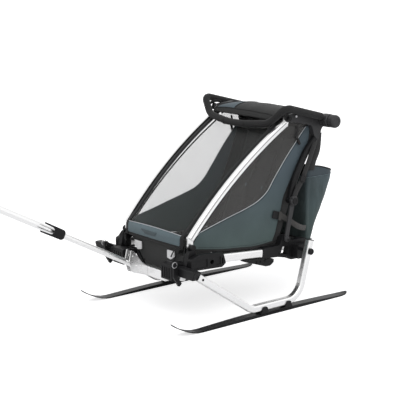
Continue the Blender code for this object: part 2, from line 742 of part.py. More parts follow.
PEDAL_HINGE = (0.3160, 0.2280)


def build_brake_pedal():
    """Foot pedal of the parking brake, hinged behind the axle beam on the left."""
    outline = rounded_outline([(0.3090, 0.2230, 0.004), (0.3200, 0.2190, 0.004), (0.3760, 0.2020, 0.004),
                               (0.3790, 0.2090, 0.003), (0.3250, 0.2330, 0.006), (0.3120, 0.2360, 0.006)])
    pedal = make_object("brake_pedal", prism(outline, 0.070, 0.130), black_plastic())
    for i in range(3):
        y = 0.3440 + i * 0.011
        cut(pedal, block((0.078, y, 0.214), (0.122, y + 0.004, 0.24)))
    return [pedal]


# Folding side frames

def post_x(z):
    """How far out the post's middle line is at a height."""
    return FOOT_X + (FRAME_X - FOOT_X) * (z - POST_PIVOT[1]) / (TOP_PIVOT[1] - POST_PIVOT[1])


def post_section(inset):
    """Extruded post's section: a rounded oblong with a long groove in its outer face."""
    corner = 0.008 - inset
    half = POST_WIDTH / 2 - inset
    groove = [(half, 0.0005 - inset), (half - 0.002, 0.0015 - inset), (half - 0.002, 0.0065 + inset),
              (half, 0.0075 + inset)]
    return groove + rounded_rect(POST_WIDTH - 2 * inset, POST_DEPTH - 2 * inset, corner, 3)


def build_front_post():
    """Bowed aluminium post, hollow, with a tongue at each end for the knuckles."""
    line = bowed_line(POST_BOTTOM, POST_TOP, POST_BOW, 14)
    path = [Vector((post_x(z), y, z)) for y, z in line]
    post = make_object("front_post", hollow_sweep(path, post_section(0), post_section(0.0022)), aluminium(), 30)
    for x, pivot, end in ((FOOT_X, POST_PIVOT, line[0]), (FRAME_X, TOP_PIVOT, line[-1])):
        join(post, tongue(x, pivot, end, 0.0130, 0.010))
        cut(post, turned([(0.20, PIN_RADIUS + GAP), (0.27, PIN_RADIUS + GAP)], pivot, 16))
    return both_sides(post)


def tongue(x, pivot, root, radius, depth):
    """Flat knuckle: a round end on the pivot that runs back into the piece that carries it."""
    away = Vector(root) - Vector(pivot)
    away.normalize()
    side = Vector((-away.y, away.x))
    base = Vector(root) + away * depth
    turns = 8
    outline = []
    for i in range(turns + 1):
        turn = math.pi * i / turns
        outline.append(Vector(pivot) + side * (radius * math.cos(turn)) - away * (radius * math.sin(turn)))
    mouth = Vector(root) + away * 0.003
    foot = POST_DEPTH / 2 - 0.001
    outline += [mouth - side * radius, mouth - side * foot, base - side * foot]
    outline += [base + side * foot, mouth + side * foot, mouth + side * radius]
    return prism([tuple(p) for p in outline], x - CHEEK, x + CHEEK)


LEG_FOOT = (0.3940, 0.7480)       # where the casting's leg meets the upright
LEG_SLOPE = Vector((-0.683, -0.731)).normalized()


def leg_end(across):
    """A (y, z) point on the square end of the casting's leg."""
    return LEG_FOOT[0] + LEG_SLOPE.y * across, LEG_FOOT[1] - LEG_SLOPE.x * across


def build_top_arm():
    """Grey casting from the post's knuckle back to the handlebar hub, with a leg down to the upright."""
    low, high = FRAME_X - 0.0125, FRAME_X + 0.0125
    nose = 0.0172
    y, z = TOP_PIVOT
    outline = rounded_outline([(y - nose, z + nose, nose), (y - nose, z - nose + 0.0012, 0.0168),
                               (0.2520, 0.8362, 0.020), (0.3150, 0.8225, 0.030), (0.3620, 0.8105, 0.022),
                               (*leg_end(0.0165), 0), (*leg_end(-0.0165), 0),
                               (0.4280, 0.7920, 0.010), (0.4560, 0.8100, 0.014), (0.4620, 0.8480, 0.018),
                               (0.4100, 0.8620, 0.020), (0.3040, 0.8800, 0.040)])
    arm = make_object("top_arm", prism(outline, low, high), grey_casting())
    recess = rounded_outline([(0.2700, 0.8660, 0.006), (0.2700, 0.8380, 0.006), (0.3600, 0.8240, 0.006),
                              (0.3600, 0.8520, 0.006)], 2)
    cut(arm, prism(recess, high - 0.0015, high + 0.01))
    slot = CHEEK + GAP
    cut(arm, block((FRAME_X - slot, 0.18, 0.80), (FRAME_X + slot, 0.2360, 0.90)))
    join(arm, turned([(low + 0.001, PIN_RADIUS), (high - 0.001, PIN_RADIUS), (high, 0.0110), (high + 0.002, 0.0110)],
                     TOP_PIVOT, 16))
    join(arm, turned([(high - 0.002, 0.0290), (0.2600, 0.0290), (0.2622, 0.0265)], HUB, 24))
    return both_sides(arm)


def upright_path():
    start = Vector(LEG_FOOT) + LEG_SLOPE * GAP
    corners = [start, start + LEG_SLOPE * 0.075, (0.2650, 0.5700), BREAK_PIVOT]
    return rounded_path([in_plane(FRAME_X, p) for p in corners], (0.110, 0.300), 5)


def build_rear_upright():
    section = rounded_rect(POST_WIDTH, 0.030, 0.008, 2)
    upright = make_object("rear_upright", sweep(upright_path(), section), black_plastic())
    join(upright, turned([(FRAME_X - 0.0105, 0.0170), (FRAME_X + 0.0105, 0.0170)], BREAK_PIVOT, 20))
    return both_sides(upright)


LINK_X = (0.2528, 0.2600)


def build_rear_link():
    """Lower strut between the frame's two rear pivots, with the round fold lock at its upper end."""
    x0, x1 = LINK_X
    turns = 8
    low, high = Vector(LINK_PIVOT), Vector(BREAK_PIVOT)
    away = (high - low).normalized()
    side = Vector((-away.y, away.x))
    outline = [low + side * (0.011 * math.cos(math.pi * i / turns)) - away * (0.011 * math.sin(math.pi * i / turns))
               for i in range(turns + 1)]
    outline += [high - side * (0.013 * math.cos(math.pi * i / turns)) + away * (0.013 * math.sin(math.pi * i / turns))
                for i in range(turns + 1)]
    link = make_object("rear_link", prism([tuple(p) for p in outline], x0, x1), grey_casting())
    join(link, turned([(x0 + 0.001, 0.0200), (x1, 0.0225), (x1 + 0.008, 0.0225), (x1 + 0.012, 0.0195),
                       (x1 + 0.013, 0.0150)], BREAK_PIVOT, 24))
    for i in range(3):
        notch = Vector(BREAK_PIVOT) + 0.0225 * Vector((math.cos(2.1 * i + 0.4), math.sin(2.1 * i + 0.4)))
        cut(link, turned([(x1 + 0.002, 0.005), (x1 + 0.03, 0.005)], notch, 12))
    join(link, turned([(0.2400, PIN_RADIUS), (x0 + 0.001, PIN_RADIUS), (x0 + 0.001, 0.0100), (x1, 0.0130),
                       (x1 + 0.004, 0.0130), (x1 + 0.006, 0.0100)], LINK_PIVOT, 20))
    return both_sides(link)


def build_rear_cross_tube():
    path = [Vector((-0.2257, 0.4010, 0.7720)), Vector((0.2257, 0.4010, 0.7720))]
    return [make_object("rear_cross_tube", pipe(path, 0.0110, 0.0090, 16, (0, 1, 0)), aluminium())]


# Handlebar

def bar_path():
    y, z = HUB
    arm_start = Vector((BAR_X, y - 0.016, z + 0.016))
    left = [arm_start, Vector(BAR_CORNER), Vector(GRIP_CORNER)]
    right = [Vector((-p.x, p.y, p.z)) for p in reversed(left)]
    corners = left + [Vector(GRIP_MIDDLE)] + right
    return rounded_path(corners, (0.034, 0.080, 0.6, 0.080, 0.034), 6)


def build_handlebar_tube():
    """Bent bar with a lock drum at each end, bored for the stem of its button."""
    tube = make_object("handlebar_tube", sweep(bar_path(), circle(BAR_RADIUS, 12)), grey_casting())
    for side in (1, -1):
        drum = [(side * x, r) for x, r in ((0.2628, 0.0290), (0.2645, DRUM_RADIUS), (0.2960, DRUM_RADIUS),
                                           (DRUM_OUTER_X, 0.0285))]
        join(tube, turned(drum, HUB, 24))
        cut(tube, turned([(side * 0.2880, 0.0100 + GAP), (side * 0.31, 0.0100 + GAP)], HUB, 18))
    return [tube]


def build_handlebar_foam():
    points = bar_path()
    start = points[0].lerp(points[1], 0.10)
    end = points[-1].lerp(points[-2], 0.10)
    return [make_object("handlebar_foam", pipe([start] + points[1:-1] + [end], FOAM_RADIUS, BAR_RADIUS + GAP, 12),
                        foam())]


def build_hub_button():
    """Domed push button on the drum: pressing both lets the handlebar swing."""
    face = DRUM_OUTER_X + BUTTON_TRAVEL + 0.0006
    profile = [(0.2930, 0.0100), (face, 0.0100), (face, 0.0285), (face + 0.003, 0.0300), (face + 0.026, 0.0300),
               (face + 0.033, 0.0270), (face + 0.036, 0.0210), (face + 0.036, 0.0150), (face + 0.034, 0.0140)]
    return both_sides(make_object("hub_button", turned(profile, HUB, 24), grey_casting()))


# Cabin shell and soft goods

def build_footwell():
    """Tapered tub for the feet, open at the top, whose front wall is the toe panel."""
    wall = 0.004
    def tub(grow, top, low):
        upper = [(-0.188 + grow, -0.3545 + grow), (0.188 - grow, -0.3545 + grow), (0.188 - grow, -0.1450 - grow),
                 (-0.188 + grow, -0.1450 - grow)]
        lower = [(-0.079 + grow, -0.3470 + grow), (0.079 - grow, -0.3470 + grow), (0.079 - grow, -0.2200 - grow),
                 (-0.079 + grow, -0.2200 - grow)]
        return loft([[Vector((x, y, low)) for x, y in lower], [Vector((x, y, top)) for x, y in upper]])
    footwell = make_object("footwell", tub(0.0, 0.3400, 0.2060), black_fabric(), 25)
    cut(footwell, tub(wall, 0.3401, 0.2060 + wall))
    cut(footwell, block((-0.30, -0.3200, 0.2950), (0.30, -0.10, 0.40)))
    soften(footwell, 0.0012, 1)
    return [footwell]


def build_floor_tray():
    outline = rounded_outline([(-0.1430, 0.2700, 0.003), (0.2500, 0.2620, 0.003), (0.2500, 0.2900, 0.003),
                               (0.2440, 0.2900, 0), (0.2420, 0.2720, 0), (-0.1400, 0.2800, 0)], 2)
    return [make_object("floor_tray", prism(outline, -0.2190, 0.2190), black_fabric())]


def build_reflector():
    """Ribbed reflector in the upper corner of the toe panel."""
    corners = [(0.0950, 0.3110), (0.1430, 0.3110), (0.1430, 0.2860), (0.1200, 0.2710), (0.0950, 0.2760)]
    front, back = -0.3630, -0.3551
    rings = [[Vector((x, y, z)) for x, z in corners] for y in (back, front)]
    reflector = make_object("reflector", loft(rings), reflector_lens())
    soften(reflector, 0.0010, 1)
    for i in range(5):
        x = 0.1000 + i * 0.0085
        cut(reflector, block((x, front - 0.01, 0.2820), (x + 0.0030, front + 0.0012, 0.3080)))
    return both_sides(reflector)


COVER_LIFT = 0.010                # how far the cover lies in front of the posts' middle line


def cover_line():
    """The front cover's middle line as (y, z, forward bulge): lower strip, then up along the posts."""
    rows = [(-0.3600, 0.3460, 0.010), (-0.3590, 0.3660, 0.016), (-0.3530, 0.3860, 0.018)]
    along = (Vector(POST_TOP) - Vector(POST_BOTTOM)).normalized()
    for y, z in bowed_line(POST_BOTTOM, POST_TOP, POST_BOW, 12)[1:]:
        share = (y - POST_BOTTOM[0]) / (POST_TOP[0] - POST_BOTTOM[0])
        rows.append((y - along.y * COVER_LIFT, z + along.x * COVER_LIFT, 0.016 * (1 - share) + 0.002))
    return rows


def build_front_cover():
    """Cover stretched between the posts, bulging a little at the toe end."""
    columns = 8
    thick = 0.0030
    rows = cover_line()
    rings = []
    for i, (y, z, bulge) in enumerate(rows):
        before = rows[max(i - 1, 0)]
        after = rows[min(i + 1, len(rows) - 1)]
        along = Vector((after[0] - before[0], after[1] - before[1])).normalized()
        out = Vector((-along.y, along.x))
        half = post_x(max(z, POST_PIVOT[1])) - POST_WIDTH / 2 - 0.004
        ring = []
        for face in (0, 1):
            for c in range(columns + 1):
                t = -1 + 2 * c / columns if face == 0 else 1 - 2 * c / columns
                rise = bulge * (1 - t * t) + thick * face
                ring.append(Vector((half * t, y + out.x * rise, z + out.y * rise)))
        rings.append(ring)
    return [make_object("front_cover", loft(rings), black_fabric(), 60)]


def canopy_rows():
    """Roof lines from the top of the front cover back to the hubs, as (y, z at the edge, crown)."""
    return [(0.1760, 0.8420, 0.006), (0.1900, 0.8560, 0.012), (0.2150, 0.8640, 0.020), (0.2600, 0.8650, 0.026),
            (0.3200, 0.8580, 0.028), (0.3800, 0.8480, 0.026), (0.4200, 0.8370, 0.020), (0.4340, 0.8180, 0.010)]


def build_canopy():
    """Crowned roof between the two top arms."""
    half = 0.2215
    columns = 8
    thick = 0.0035
    rows = canopy_rows()
    rings = []
    for i, (y, z, crown) in enumerate(rows):
        before = rows[max(i - 1, 0)]
        after = rows[min(i + 1, len(rows) - 1)]
        along = Vector((after[0] - before[0], after[1] - before[1])).normalized()
        out = Vector((-along.y, along.x))
        ring = []
        for face in (0, 1):
            for c in range(columns + 1):
                t = -1 + 2 * c / columns if face == 0 else 1 - 2 * c / columns
                rise = crown * (1 - t * t) + thick * face
                ring.append(Vector((half * t, y + out.x * rise, z + out.y * rise)))
        rings.append(ring)
    return [make_object("canopy", loft(rings), black_fabric(), 60)]


def side_panel_outline():
    """Side fabric between post, top arm, upright and rail, as a (y, z) outline."""
    post = bowed_line(POST_BOTTOM, POST_TOP, POST_BOW, 14)
    inset = POST_DEPTH / 2 + 0.0040
    along = (Vector(POST_TOP) - Vector(POST_BOTTOM)).normalized()
    front = [(y + along.y * inset, z - along.x * inset) for y, z in post]
    back = [(0.2500, 0.8420), (0.3500, 0.8360), (0.3770, 0.8100), (0.3770, 0.7500), (0.3540, 0.7020),
            (0.2640, 0.5680), (0.2220, 0.4960), (0.2060, 0.4400), (0.1700, 0.3300), (0.1500, 0.2860)]
    hem = [(0.0400, 0.2790), (-0.1500, 0.2960), (-0.3100, 0.3200)]
    return front + back + hem


def build_side_panel():
    return both_sides(make_object("side_panel", prism(side_panel_outline(), 0.2225, 0.2255), blue_fabric()))


def build_seat_cushion():
    outline = rounded_outline([(-0.1280, 0.2830, 0.008), (0.1500, 0.2780, 0.008), (0.1540, 0.3020, 0.010),
                               (-0.1220, 0.3140, 0.012)])
    return [make_object("seat_cushion", prism(outline, -0.1850, 0.1850), black_fabric())]


def build_backrest():
    outline = rounded_outline([(0.1660, 0.2850, 0.007), (0.1840, 0.2850, 0.007), (0.3740, 0.7560, 0.007),
                               (0.3570, 0.7620, 0.007)])
    return [make_object("backrest", prism(outline, -0.1950, 0.1950), black_fabric())]


def bag_outline(grow, lift):
    """The bag's side as (y, z): its rim slopes down to the rear. Lift raises the rim of the cutter."""
    front = 0.3850 + grow
    rear = [(0.4230, 0.2600), (0.4480, 0.3140), (0.4770, 0.3630), (0.5060, 0.4180), (0.5310, 0.4680),
            (0.5500, 0.5140), (0.5640, 0.5450)]
    rim = [(BAG_REAR - 0.003, BAG_RIM_Z), (0.5460, 0.5800), (0.4800, 0.6010), (0.4300, 0.6110)]
    outline = [(front, 0.2560 + grow), (0.4110 - grow, 0.2560 + grow)]
    outline += [(y - grow, z) for y, z in rear]
    outline += [(y - (grow if y > 0.56 else 0), z + lift) for y, z in rim]
    return outline + [(front, 0.6190 + lift)]


def build_rear_bag():
    """Open-topped luggage bag behind the seat, with rounded rear corners."""
    half = 0.2060
    shares = ((-1.0, 0.030), (-0.97, 0.012), (-0.90, 0.003), (-0.7, 0.0), (0.7, 0.0), (0.90, 0.003),
              (0.97, 0.012), (1.0, 0.030))
    def shell(grow, lift):
        rings = []
        for share, pull in shares:
            rings.append([Vector((share * (half - grow), y - pull * (y - 0.385) / (BAG_REAR - 0.385), z))
                          for y, z in bag_outline(grow, lift)])
        return loft(rings)
    bag = make_object("rear_bag", shell(0.0, 0.0), blue_fabric(), 40)
    return [cut(bag, shell(0.004, 0.030))]


# Assembly

PIVOTS = {
    "trailer": (None, (0.0, 0.0, 0.0)),
    "release_lever_left": ("trailer", (LEVER_X, *LEVER_PIVOT)),
    "release_lever_right": ("trailer", (-LEVER_X, *LEVER_PIVOT)),
    "tow_pole": ("trailer", (0.0, *POLE_PIVOT)),
    "pole_slide": ("tow_pole", (0.0, *POLE_PIVOT)),
    "clamp_lever": ("pole_slide", (sum(CLAMP_LEVER_X) / 2,
                                   POLE_PIVOT[0] - CLAMP_LEVER_HINGE * math.cos(POLE_PITCH),
                                   POLE_PIVOT[1] + CLAMP_LEVER_HINGE * math.sin(POLE_PITCH))),
    "front_frame": ("trailer", (0.0, *POST_PIVOT)),
    "top_frame": ("front_frame", (0.0, *TOP_PIVOT)),
    "handlebar": ("top_frame", (0.0, *HUB)),
    "hub_button_left": ("handlebar", (DRUM_OUTER_X, *HUB)),
    "hub_button_right": ("handlebar", (-DRUM_OUTER_X, *HUB)),
    "rear_links": ("trailer", (0.0, *LINK_PIVOT)),
    "brake_pedal": ("trailer", (0.100, *PEDAL_HINGE)),
}


def make_pivots():
    """One empty on each joint's axis, nested as the joints are."""
    empties = {}
    for name, (parent, place) in PIVOTS.items():
        empty = bpy.data.objects.new(name + "_pivot", None)
        bpy.context.scene.collection.objects.link(empty)
        if parent is None:
            empty.location = (0.0, FOOTPRINT_SHIFT, 0.0)
        else:
            empty.parent = empties[parent]
            empty.location = Vector(place) - Vector(PIVOTS[parent][1])
        empties[name] = empty
    return empties


def attach(pieces, empties, pivot):
    for piece in pieces:
        piece.parent = empties[pivot]
        piece.location = -Vector(PIVOTS[pivot][1])


def attach_pair(pieces, empties, pivot):
    for piece, side in zip(pieces, ("_left", "_right")):
        attach([piece], empties, pivot + side)


def main():
    clear_scene()
    empties = make_pivots()
    fixed = (build_ski, build_ski_clip, build_ski_arm, build_axle_pin, build_arm_sleeve, build_tow_beam,
             build_tow_yoke, build_connector, build_hanger_plate, build_side_rail, build_front_cross_member, build_front_corner,
             build_accessory_socket, build_rail_skid, build_axle_housing, build_axle_beam, build_footwell,
             build_floor_tray, build_reflector, build_side_panel, build_seat_cushion, build_backrest,
             build_rear_bag)
    for build in fixed:
        attach(build(), empties, "trailer")
    attach_pair(build_release_lever(), empties, "release_lever")
    attach(build_pole_inner_tube(), empties, "tow_pole")
    for build in (build_pole_outer_tube, build_pole_clamp, build_pole_end):
        attach(build(), empties, "pole_slide")
    attach(build_clamp_lever(), empties, "clamp_lever")
    for build in (build_front_post, build_front_cover):
        attach(build(), empties, "front_frame")
    for build in (build_top_arm, build_rear_upright, build_rear_cross_tube, build_canopy):
        attach(build(), empties, "top_frame")
    for build in (build_handlebar_tube, build_handlebar_foam):
        attach(build(), empties, "handlebar")
    attach_pair(build_hub_button(), empties, "hub_button")
    attach(build_rear_link(), empties, "rear_links")
    attach(build_brake_pedal(), empties, "brake_pedal")


main()
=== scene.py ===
import json
import math

import bmesh
import bpy
from bpy.props import FloatProperty, FloatVectorProperty, IntProperty, PointerProperty
from mathutils import Matrix, Vector, noise


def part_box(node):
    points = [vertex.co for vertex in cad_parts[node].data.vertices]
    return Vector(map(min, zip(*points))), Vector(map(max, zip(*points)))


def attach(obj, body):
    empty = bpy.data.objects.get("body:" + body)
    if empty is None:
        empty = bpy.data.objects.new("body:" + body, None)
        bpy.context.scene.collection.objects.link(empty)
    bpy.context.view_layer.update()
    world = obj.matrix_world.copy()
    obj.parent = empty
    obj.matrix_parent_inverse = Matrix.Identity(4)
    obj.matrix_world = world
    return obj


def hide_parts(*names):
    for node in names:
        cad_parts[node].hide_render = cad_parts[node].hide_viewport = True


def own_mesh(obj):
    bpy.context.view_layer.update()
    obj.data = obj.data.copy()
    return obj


bl_info = {
    "name": "Child sled trailer",
    "version": (1, 0, 0),
    "blender": (4, 5, 0),
    "location": "3D View > Sidebar > Sled Trailer",
    "description": "Cloth, trim and finishes for a folding child trailer on skis",
    "category": "Add Mesh",
}

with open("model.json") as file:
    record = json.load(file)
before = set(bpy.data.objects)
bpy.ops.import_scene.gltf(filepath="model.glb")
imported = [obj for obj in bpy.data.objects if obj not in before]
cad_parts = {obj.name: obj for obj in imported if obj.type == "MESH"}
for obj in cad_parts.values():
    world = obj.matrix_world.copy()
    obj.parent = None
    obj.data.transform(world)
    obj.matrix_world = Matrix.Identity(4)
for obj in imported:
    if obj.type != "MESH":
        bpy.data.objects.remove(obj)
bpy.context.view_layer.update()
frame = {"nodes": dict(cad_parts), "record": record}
SKI_LOW, SKI_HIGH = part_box("ski_left")
MIDDLE_Y = (SKI_LOW.y + SKI_HIGH.y) / 2    # the skis' middle, from which every y below is measured
JOINTS = {joint["name"]: joint for joint in frame["record"]["behaviour"]["joints"]}


def joint_place(name):
    """A hinge's place as (y, z), with y from the skis' middle."""
    place = JOINTS[name]["pos_m"]
    return Vector((place[1] - MIDDLE_Y, place[2]))


# Places and sizes that the pieces share, in metres. Lines in the side view are (y, z) points.
SIDES = (("left", 1), ("right", -1))
POST_PIVOT = joint_place("frame_fold")
TOP_PIVOT = joint_place("top_fold")
LINK_PIVOT = joint_place("lower_link_fold")
BREAK_PIVOT = Vector((0.243, 0.475))       # where upright and rear link meet at rest
POST_BOTTOM = Vector((-0.3368, 0.3782))
POST_TOP = Vector((0.2045, 0.8328))
POST_BOW = 0.0297
POST_WIDTH = 0.025
POST_DEPTH = 0.032
POST_ALONG = (POST_TOP - POST_BOTTOM).normalized()
FOOT_X = 0.2225                            # the posts' middle line at the feet
FRAME_X = 0.2385                           # the frame's middle plane above
PANEL_X = 0.2240                           # the side cloth's plane
BACKREST_FOOT = Vector((0.1750, 0.2850))
BACKREST_HEAD = Vector((0.3655, 0.7590))
BACKREST_ALONG = (BACKREST_HEAD - BACKREST_FOOT).normalized()
CLOTH_FOLD = 0.28                          # the height to which the cabin's cloth sinks
THIN_CLOTH = 0.0010                        # thickness of the side cloth, linings and patches
PAD_WAIST = 0.025                          # share by which a pad's sides are drawn in

COVER_FOOT = [(-0.3630, 0.3340, 0.006), (-0.3610, 0.3460, 0.010), (-0.3590, 0.3660, 0.016),
              (-0.3530, 0.3860, 0.018)]    # (y, z, forward bulge) below the posts
COVER_LIFT = 0.010                         # the cover's cloth in front of the posts' middle line
COVER_BULGE = 0.016
COVER_GAP = 0.003                          # between the cover's edge and the post
FILM_FOOT_Z = 0.3860
STRIP_Z = (0.3405, 0.3850)
STRIP_HALF = 0.1895
PATCH_TOP, PATCH_FOOT = (-0.076, 0.042), (-0.050, 0.030)    # from one x to the other
PATCH_Z, PATCH_HEIGHT = 0.3560, 0.0185

# The window's lower edge, from the post up to the roof, and the side cloth's other edges
WINDOW_EDGE = [(-0.3010, 0.3950), (-0.2000, 0.4200), (-0.1020, 0.4450), (-0.0200, 0.4650), (0.0590, 0.4900),
               (0.1150, 0.5280), (0.1560, 0.5790), (0.2290, 0.6690), (0.2900, 0.7360), (0.3500, 0.8020)]
PANEL_REAR = [(0.3760, 0.8080), (0.3765, 0.7500), (0.3540, 0.7020), (0.3110, 0.6400), (0.2640, 0.5680),
              (0.2220, 0.4960), (0.2060, 0.4400), (0.1880, 0.3840), (0.1720, 0.3300), (0.1500, 0.2860)]
PANEL_HEM = [(0.0400, 0.2790), (-0.0550, 0.2870), (-0.1500, 0.2960), (-0.2300, 0.3080), (-0.3080, 0.3210)]
PANEL_TOP = [(0.3450, 0.8350), (0.2500, 0.8410)]

CANOPY_ROWS = [(0.1760, 0.8420, 0.006), (0.1900, 0.8560, 0.012), (0.2150, 0.8640, 0.020), (0.2600, 0.8650, 0.026),
               (0.3200, 0.8580, 0.028), (0.3800, 0.8480, 0.026), (0.4200, 0.8370, 0.020),
               (0.4340, 0.8180, 0.010)]    # (y, z, crown)
CANOPY_HALF = 0.2215
PATCH_ALONG = (0.165, 0.60)                # the roof patch's ends as shares of the roof's length
PATCH_ACROSS = (0.085, CANOPY_HALF - 0.004)

BACK_MIDDLE, BACK_WING, BACK_WIDTH = 0.8, 0.052, 0.43    # flat share, side wings and width of the cabin's back
BACK_TOP = [(0.3800, 0.8000), (0.3740, 0.8480)]
TAIL_LINE = [(0.2470, 0.2920), (0.2530, 0.2800), (0.3100, 0.2640), (0.3860, 0.2553), (0.4350, 0.2545)]
TAIL_WIDTH = 0.40
FOOT_CLOTH = ((0.1490, 0.2190, -0.3150, -0.1260), (-0.2190, -0.1490, -0.3150, -0.1260),
              (0.1560, 0.2190, -0.3450, -0.3150), (-0.2190, -0.1560, -0.3450, -0.3150),
              (-0.1490, 0.1490, -0.1700, -0.1260))    # each stretch from x to x and from y to y
FOOT_CLOTH_Z = 0.2972

BAG_REAR_LINE = [(0.4230, 0.2560), (0.4480, 0.3140), (0.4770, 0.3630), (0.5060, 0.4180), (0.5310, 0.4680),
                 (0.5500, 0.5140), (0.5640, 0.5450), (0.5700, 0.5660)]
BAG_RIM = [(0.3850, 0.6190), (0.4300, 0.6110), (0.4800, 0.6010), (0.5460, 0.5800), (0.5710, 0.5660)]
BAG_FRONT = 0.3865
BAG_FLOOR = 0.2560
BAG_HEAD = 0.600
BAG_HALF = 0.2045
BAG_SEAM_Z = 0.5560
BAG_STEPS = 120                            # points round the bag
BAG_HEM_UP = 0.992                         # the rim tape's height as a share of the wall

FLOOR_SPAN = 120.0
CAMERA_PLACE = (4.171, -3.558, 1.644)
CAMERA_TURN, CAMERA_TILT = math.radians(50.3), math.radians(12.1)
CAMERA_LENS = 109.44


# Shapes

def at(x, y, z):
    """A place in the frame from a place measured from the skis' middle."""
    return Vector((x, y + MIDDLE_Y, z))


def smooth_line(points, steps):
    """Points on a smooth line that runs through the given ones."""
    points = [Vector(p) for p in points]
    ends = [points[0] * 2 - points[1]] + points + [points[-1] * 2 - points[-2]]
    line = []
    for a, b, c, d in zip(ends, ends[1:], ends[2:], ends[3:]):
        for k in range(steps):
            t = k / steps
            line.append(b + ((c - a) * t + (a * 2 - b * 5 + c * 4 - d) * t ** 2
                             + (b * 3 - a - c * 3 + d) * t ** 3) / 2)
    return line + [points[-1]]


def length_of(points):
    return sum((b - a).length for a, b in zip(points, points[1:]))


def height_on(line, y):
    """The second value of a line of (y, z) points at a given y."""
    for a, b in zip(line, line[1:]):
        if a[0] <= y <= b[0]:
            return a[1] + (b[1] - a[1]) * (y - a[0]) / max(b[0] - a[0], 1e-9)
    return line[0][1] if y < line[0][0] else line[-1][1]


def post_line(offset, steps=24):
    """The posts' bowed middle line as (y, z), moved forward by offset."""
    out = Vector((-POST_ALONG.y, POST_ALONG.x))
    line = []
    for i in range(steps + 1):
        t = i / steps
        line.append(POST_BOTTOM.lerp(POST_TOP, t) + out * (POST_BOW * 4 * t * (1 - t) + offset))
    return line


def post_x(z):
    """How far out the posts' middle line is at a height."""
    return FOOT_X + (FRAME_X - FOOT_X) * (z - POST_PIVOT[1]) / (TOP_PIVOT[1] - POST_PIVOT[1])


def round_section(radius, count=8):
    return [(radius * math.cos(math.tau * i / count), radius * math.sin(math.tau * i / count))
            for i in range(count)]


def band_section(width, thickness):
    """A flat band's section with thinned edges, lying on the line that it follows."""
    half, thin = width / 2, thickness * 0.35
    edge = min(thickness, half * 0.3)
    return [(-half, thin), (-half + edge, thickness), (half - edge, thickness), (half, thin),
            (half - edge, 0.0), (-half + edge, 0.0)]


def box_section(width, thickness):
    """A section of a small moulded piece with chamfered corners, centred on its line."""
    half, deep = width / 2, thickness / 2
    cut = min(half, deep) * 0.35
    return [(-half, -deep + cut), (-half + cut, -deep), (half - cut, -deep), (half, -deep + cut),
            (half, deep - cut), (half - cut, deep), (-half + cut, deep), (-half, deep - cut)]


def swept(points, section, outs=None, scales=None, closed=False):
    """Skin of a section carried along points. outs is the outward direction, one for all or one for each."""
    bm = bmesh.new()
    layer = bm.loops.layers.uv.new("UVMap")
    count = len(points)
    around = [0.0]
    for a, b in zip(section, section[1:] + section[:1]):
        around.append(around[-1] + math.dist(a, b))
    rings, along = [], [0.0]
    out = None
    for i, point in enumerate(points):
        before = points[i - 1] if i or closed else point
        after = points[(i + 1) % count] if i < count - 1 or closed else point
        ahead = (after - before).normalized()
        if outs is not None:
            out = outs if isinstance(outs, Vector) else outs[i]
        elif out is None:
            out = Vector((0, 0, 1)) if abs(ahead.z) < 0.9 else Vector((1, 0, 0))
        side = ahead.cross(out).normalized()
        out = side.cross(ahead).normalized()
        scale = scales[i] if scales else 1.0
        rings.append([bm.verts.new(point + side * a * scale + out * b * scale) for a, b in section])
        if i:
            along.append(along[-1] + (point - points[i - 1]).length)
    pairs = list(zip(rings, rings[1:])) + ([(rings[-1], rings[0])] if closed else [])
    along.append(along[-1] + (points[0] - points[-1]).length)
    for row, (a, b) in enumerate(pairs):
        for c in range(len(section)):
            d = (c + 1) % len(section)
            face = bm.faces.new((a[c], a[d], b[d], b[c]))
            corners = ((around[c], along[row]), (around[c + 1], along[row]), (around[c + 1], along[row + 1]),
                       (around[c], along[row + 1]))
            for loop, uv in zip(face.loops, corners):
                loop[layer].uv = uv
    if not closed:
        bm.faces.new(list(reversed(rings[0])))
        bm.faces.new(rings[-1])
    bmesh.ops.recalc_face_normals(bm, faces=bm.faces)
    return bm


def grid(place, columns, rows, width, length, closed=False):
    """Quads over place(across, along), both from 0 to 1, with the cloth's own metres as its UVs."""
    bm = bmesh.new()
    layer = bm.loops.layers.uv.new("UVMap")
    across = columns if closed else columns + 1
    points = [[bm.verts.new(place(c / columns, r / rows)) for c in range(across)] for r in range(rows + 1)]
    for r in range(rows):
        for c in range(columns):
            d = (c + 1) % across
            face = bm.faces.new((points[r][c], points[r][d], points[r + 1][d], points[r + 1][c]))
            for loop, (u, v) in zip(face.loops, ((c, r), (c + 1, r), (c + 1, r + 1), (c, r + 1))):
                loop[layer].uv = (u / columns * width, v / rows * length)
    return bm


def joined(parts):
    """Several skins as one."""
    bm = bmesh.new()
    for part in parts:
        mesh = bpy.data.meshes.new("part")
        part.to_mesh(mesh)
        part.free()
        bm.from_mesh(mesh)
        bpy.data.meshes.remove(mesh)
    return bm


def capped(bm, rings):
    """Quads between rings of points, with a face at both ends."""
    for a, b in zip(rings, rings[1:]):
        for c in range(len(a)):
            d = (c + 1) % len(a)
            bm.faces.new((a[c], a[d], b[d], b[c]))
    bm.faces.new(list(reversed(rings[0])))
    bm.faces.new(rings[-1])
    bmesh.ops.recalc_face_normals(bm, faces=bm.faces)
    return bm


def turned(profile, centre, axis, count=24):
    """Round body from (along, radius) points, turned about an axis through the centre."""
    axis = axis.normalized()
    side = axis.orthogonal().normalized()
    up = axis.cross(side)
    bm = bmesh.new()
    return capped(bm, [[bm.verts.new(centre + axis * along + (side * x + up * y) * radius)
                        for x, y in round_section(1.0, count)] for along, radius in profile])


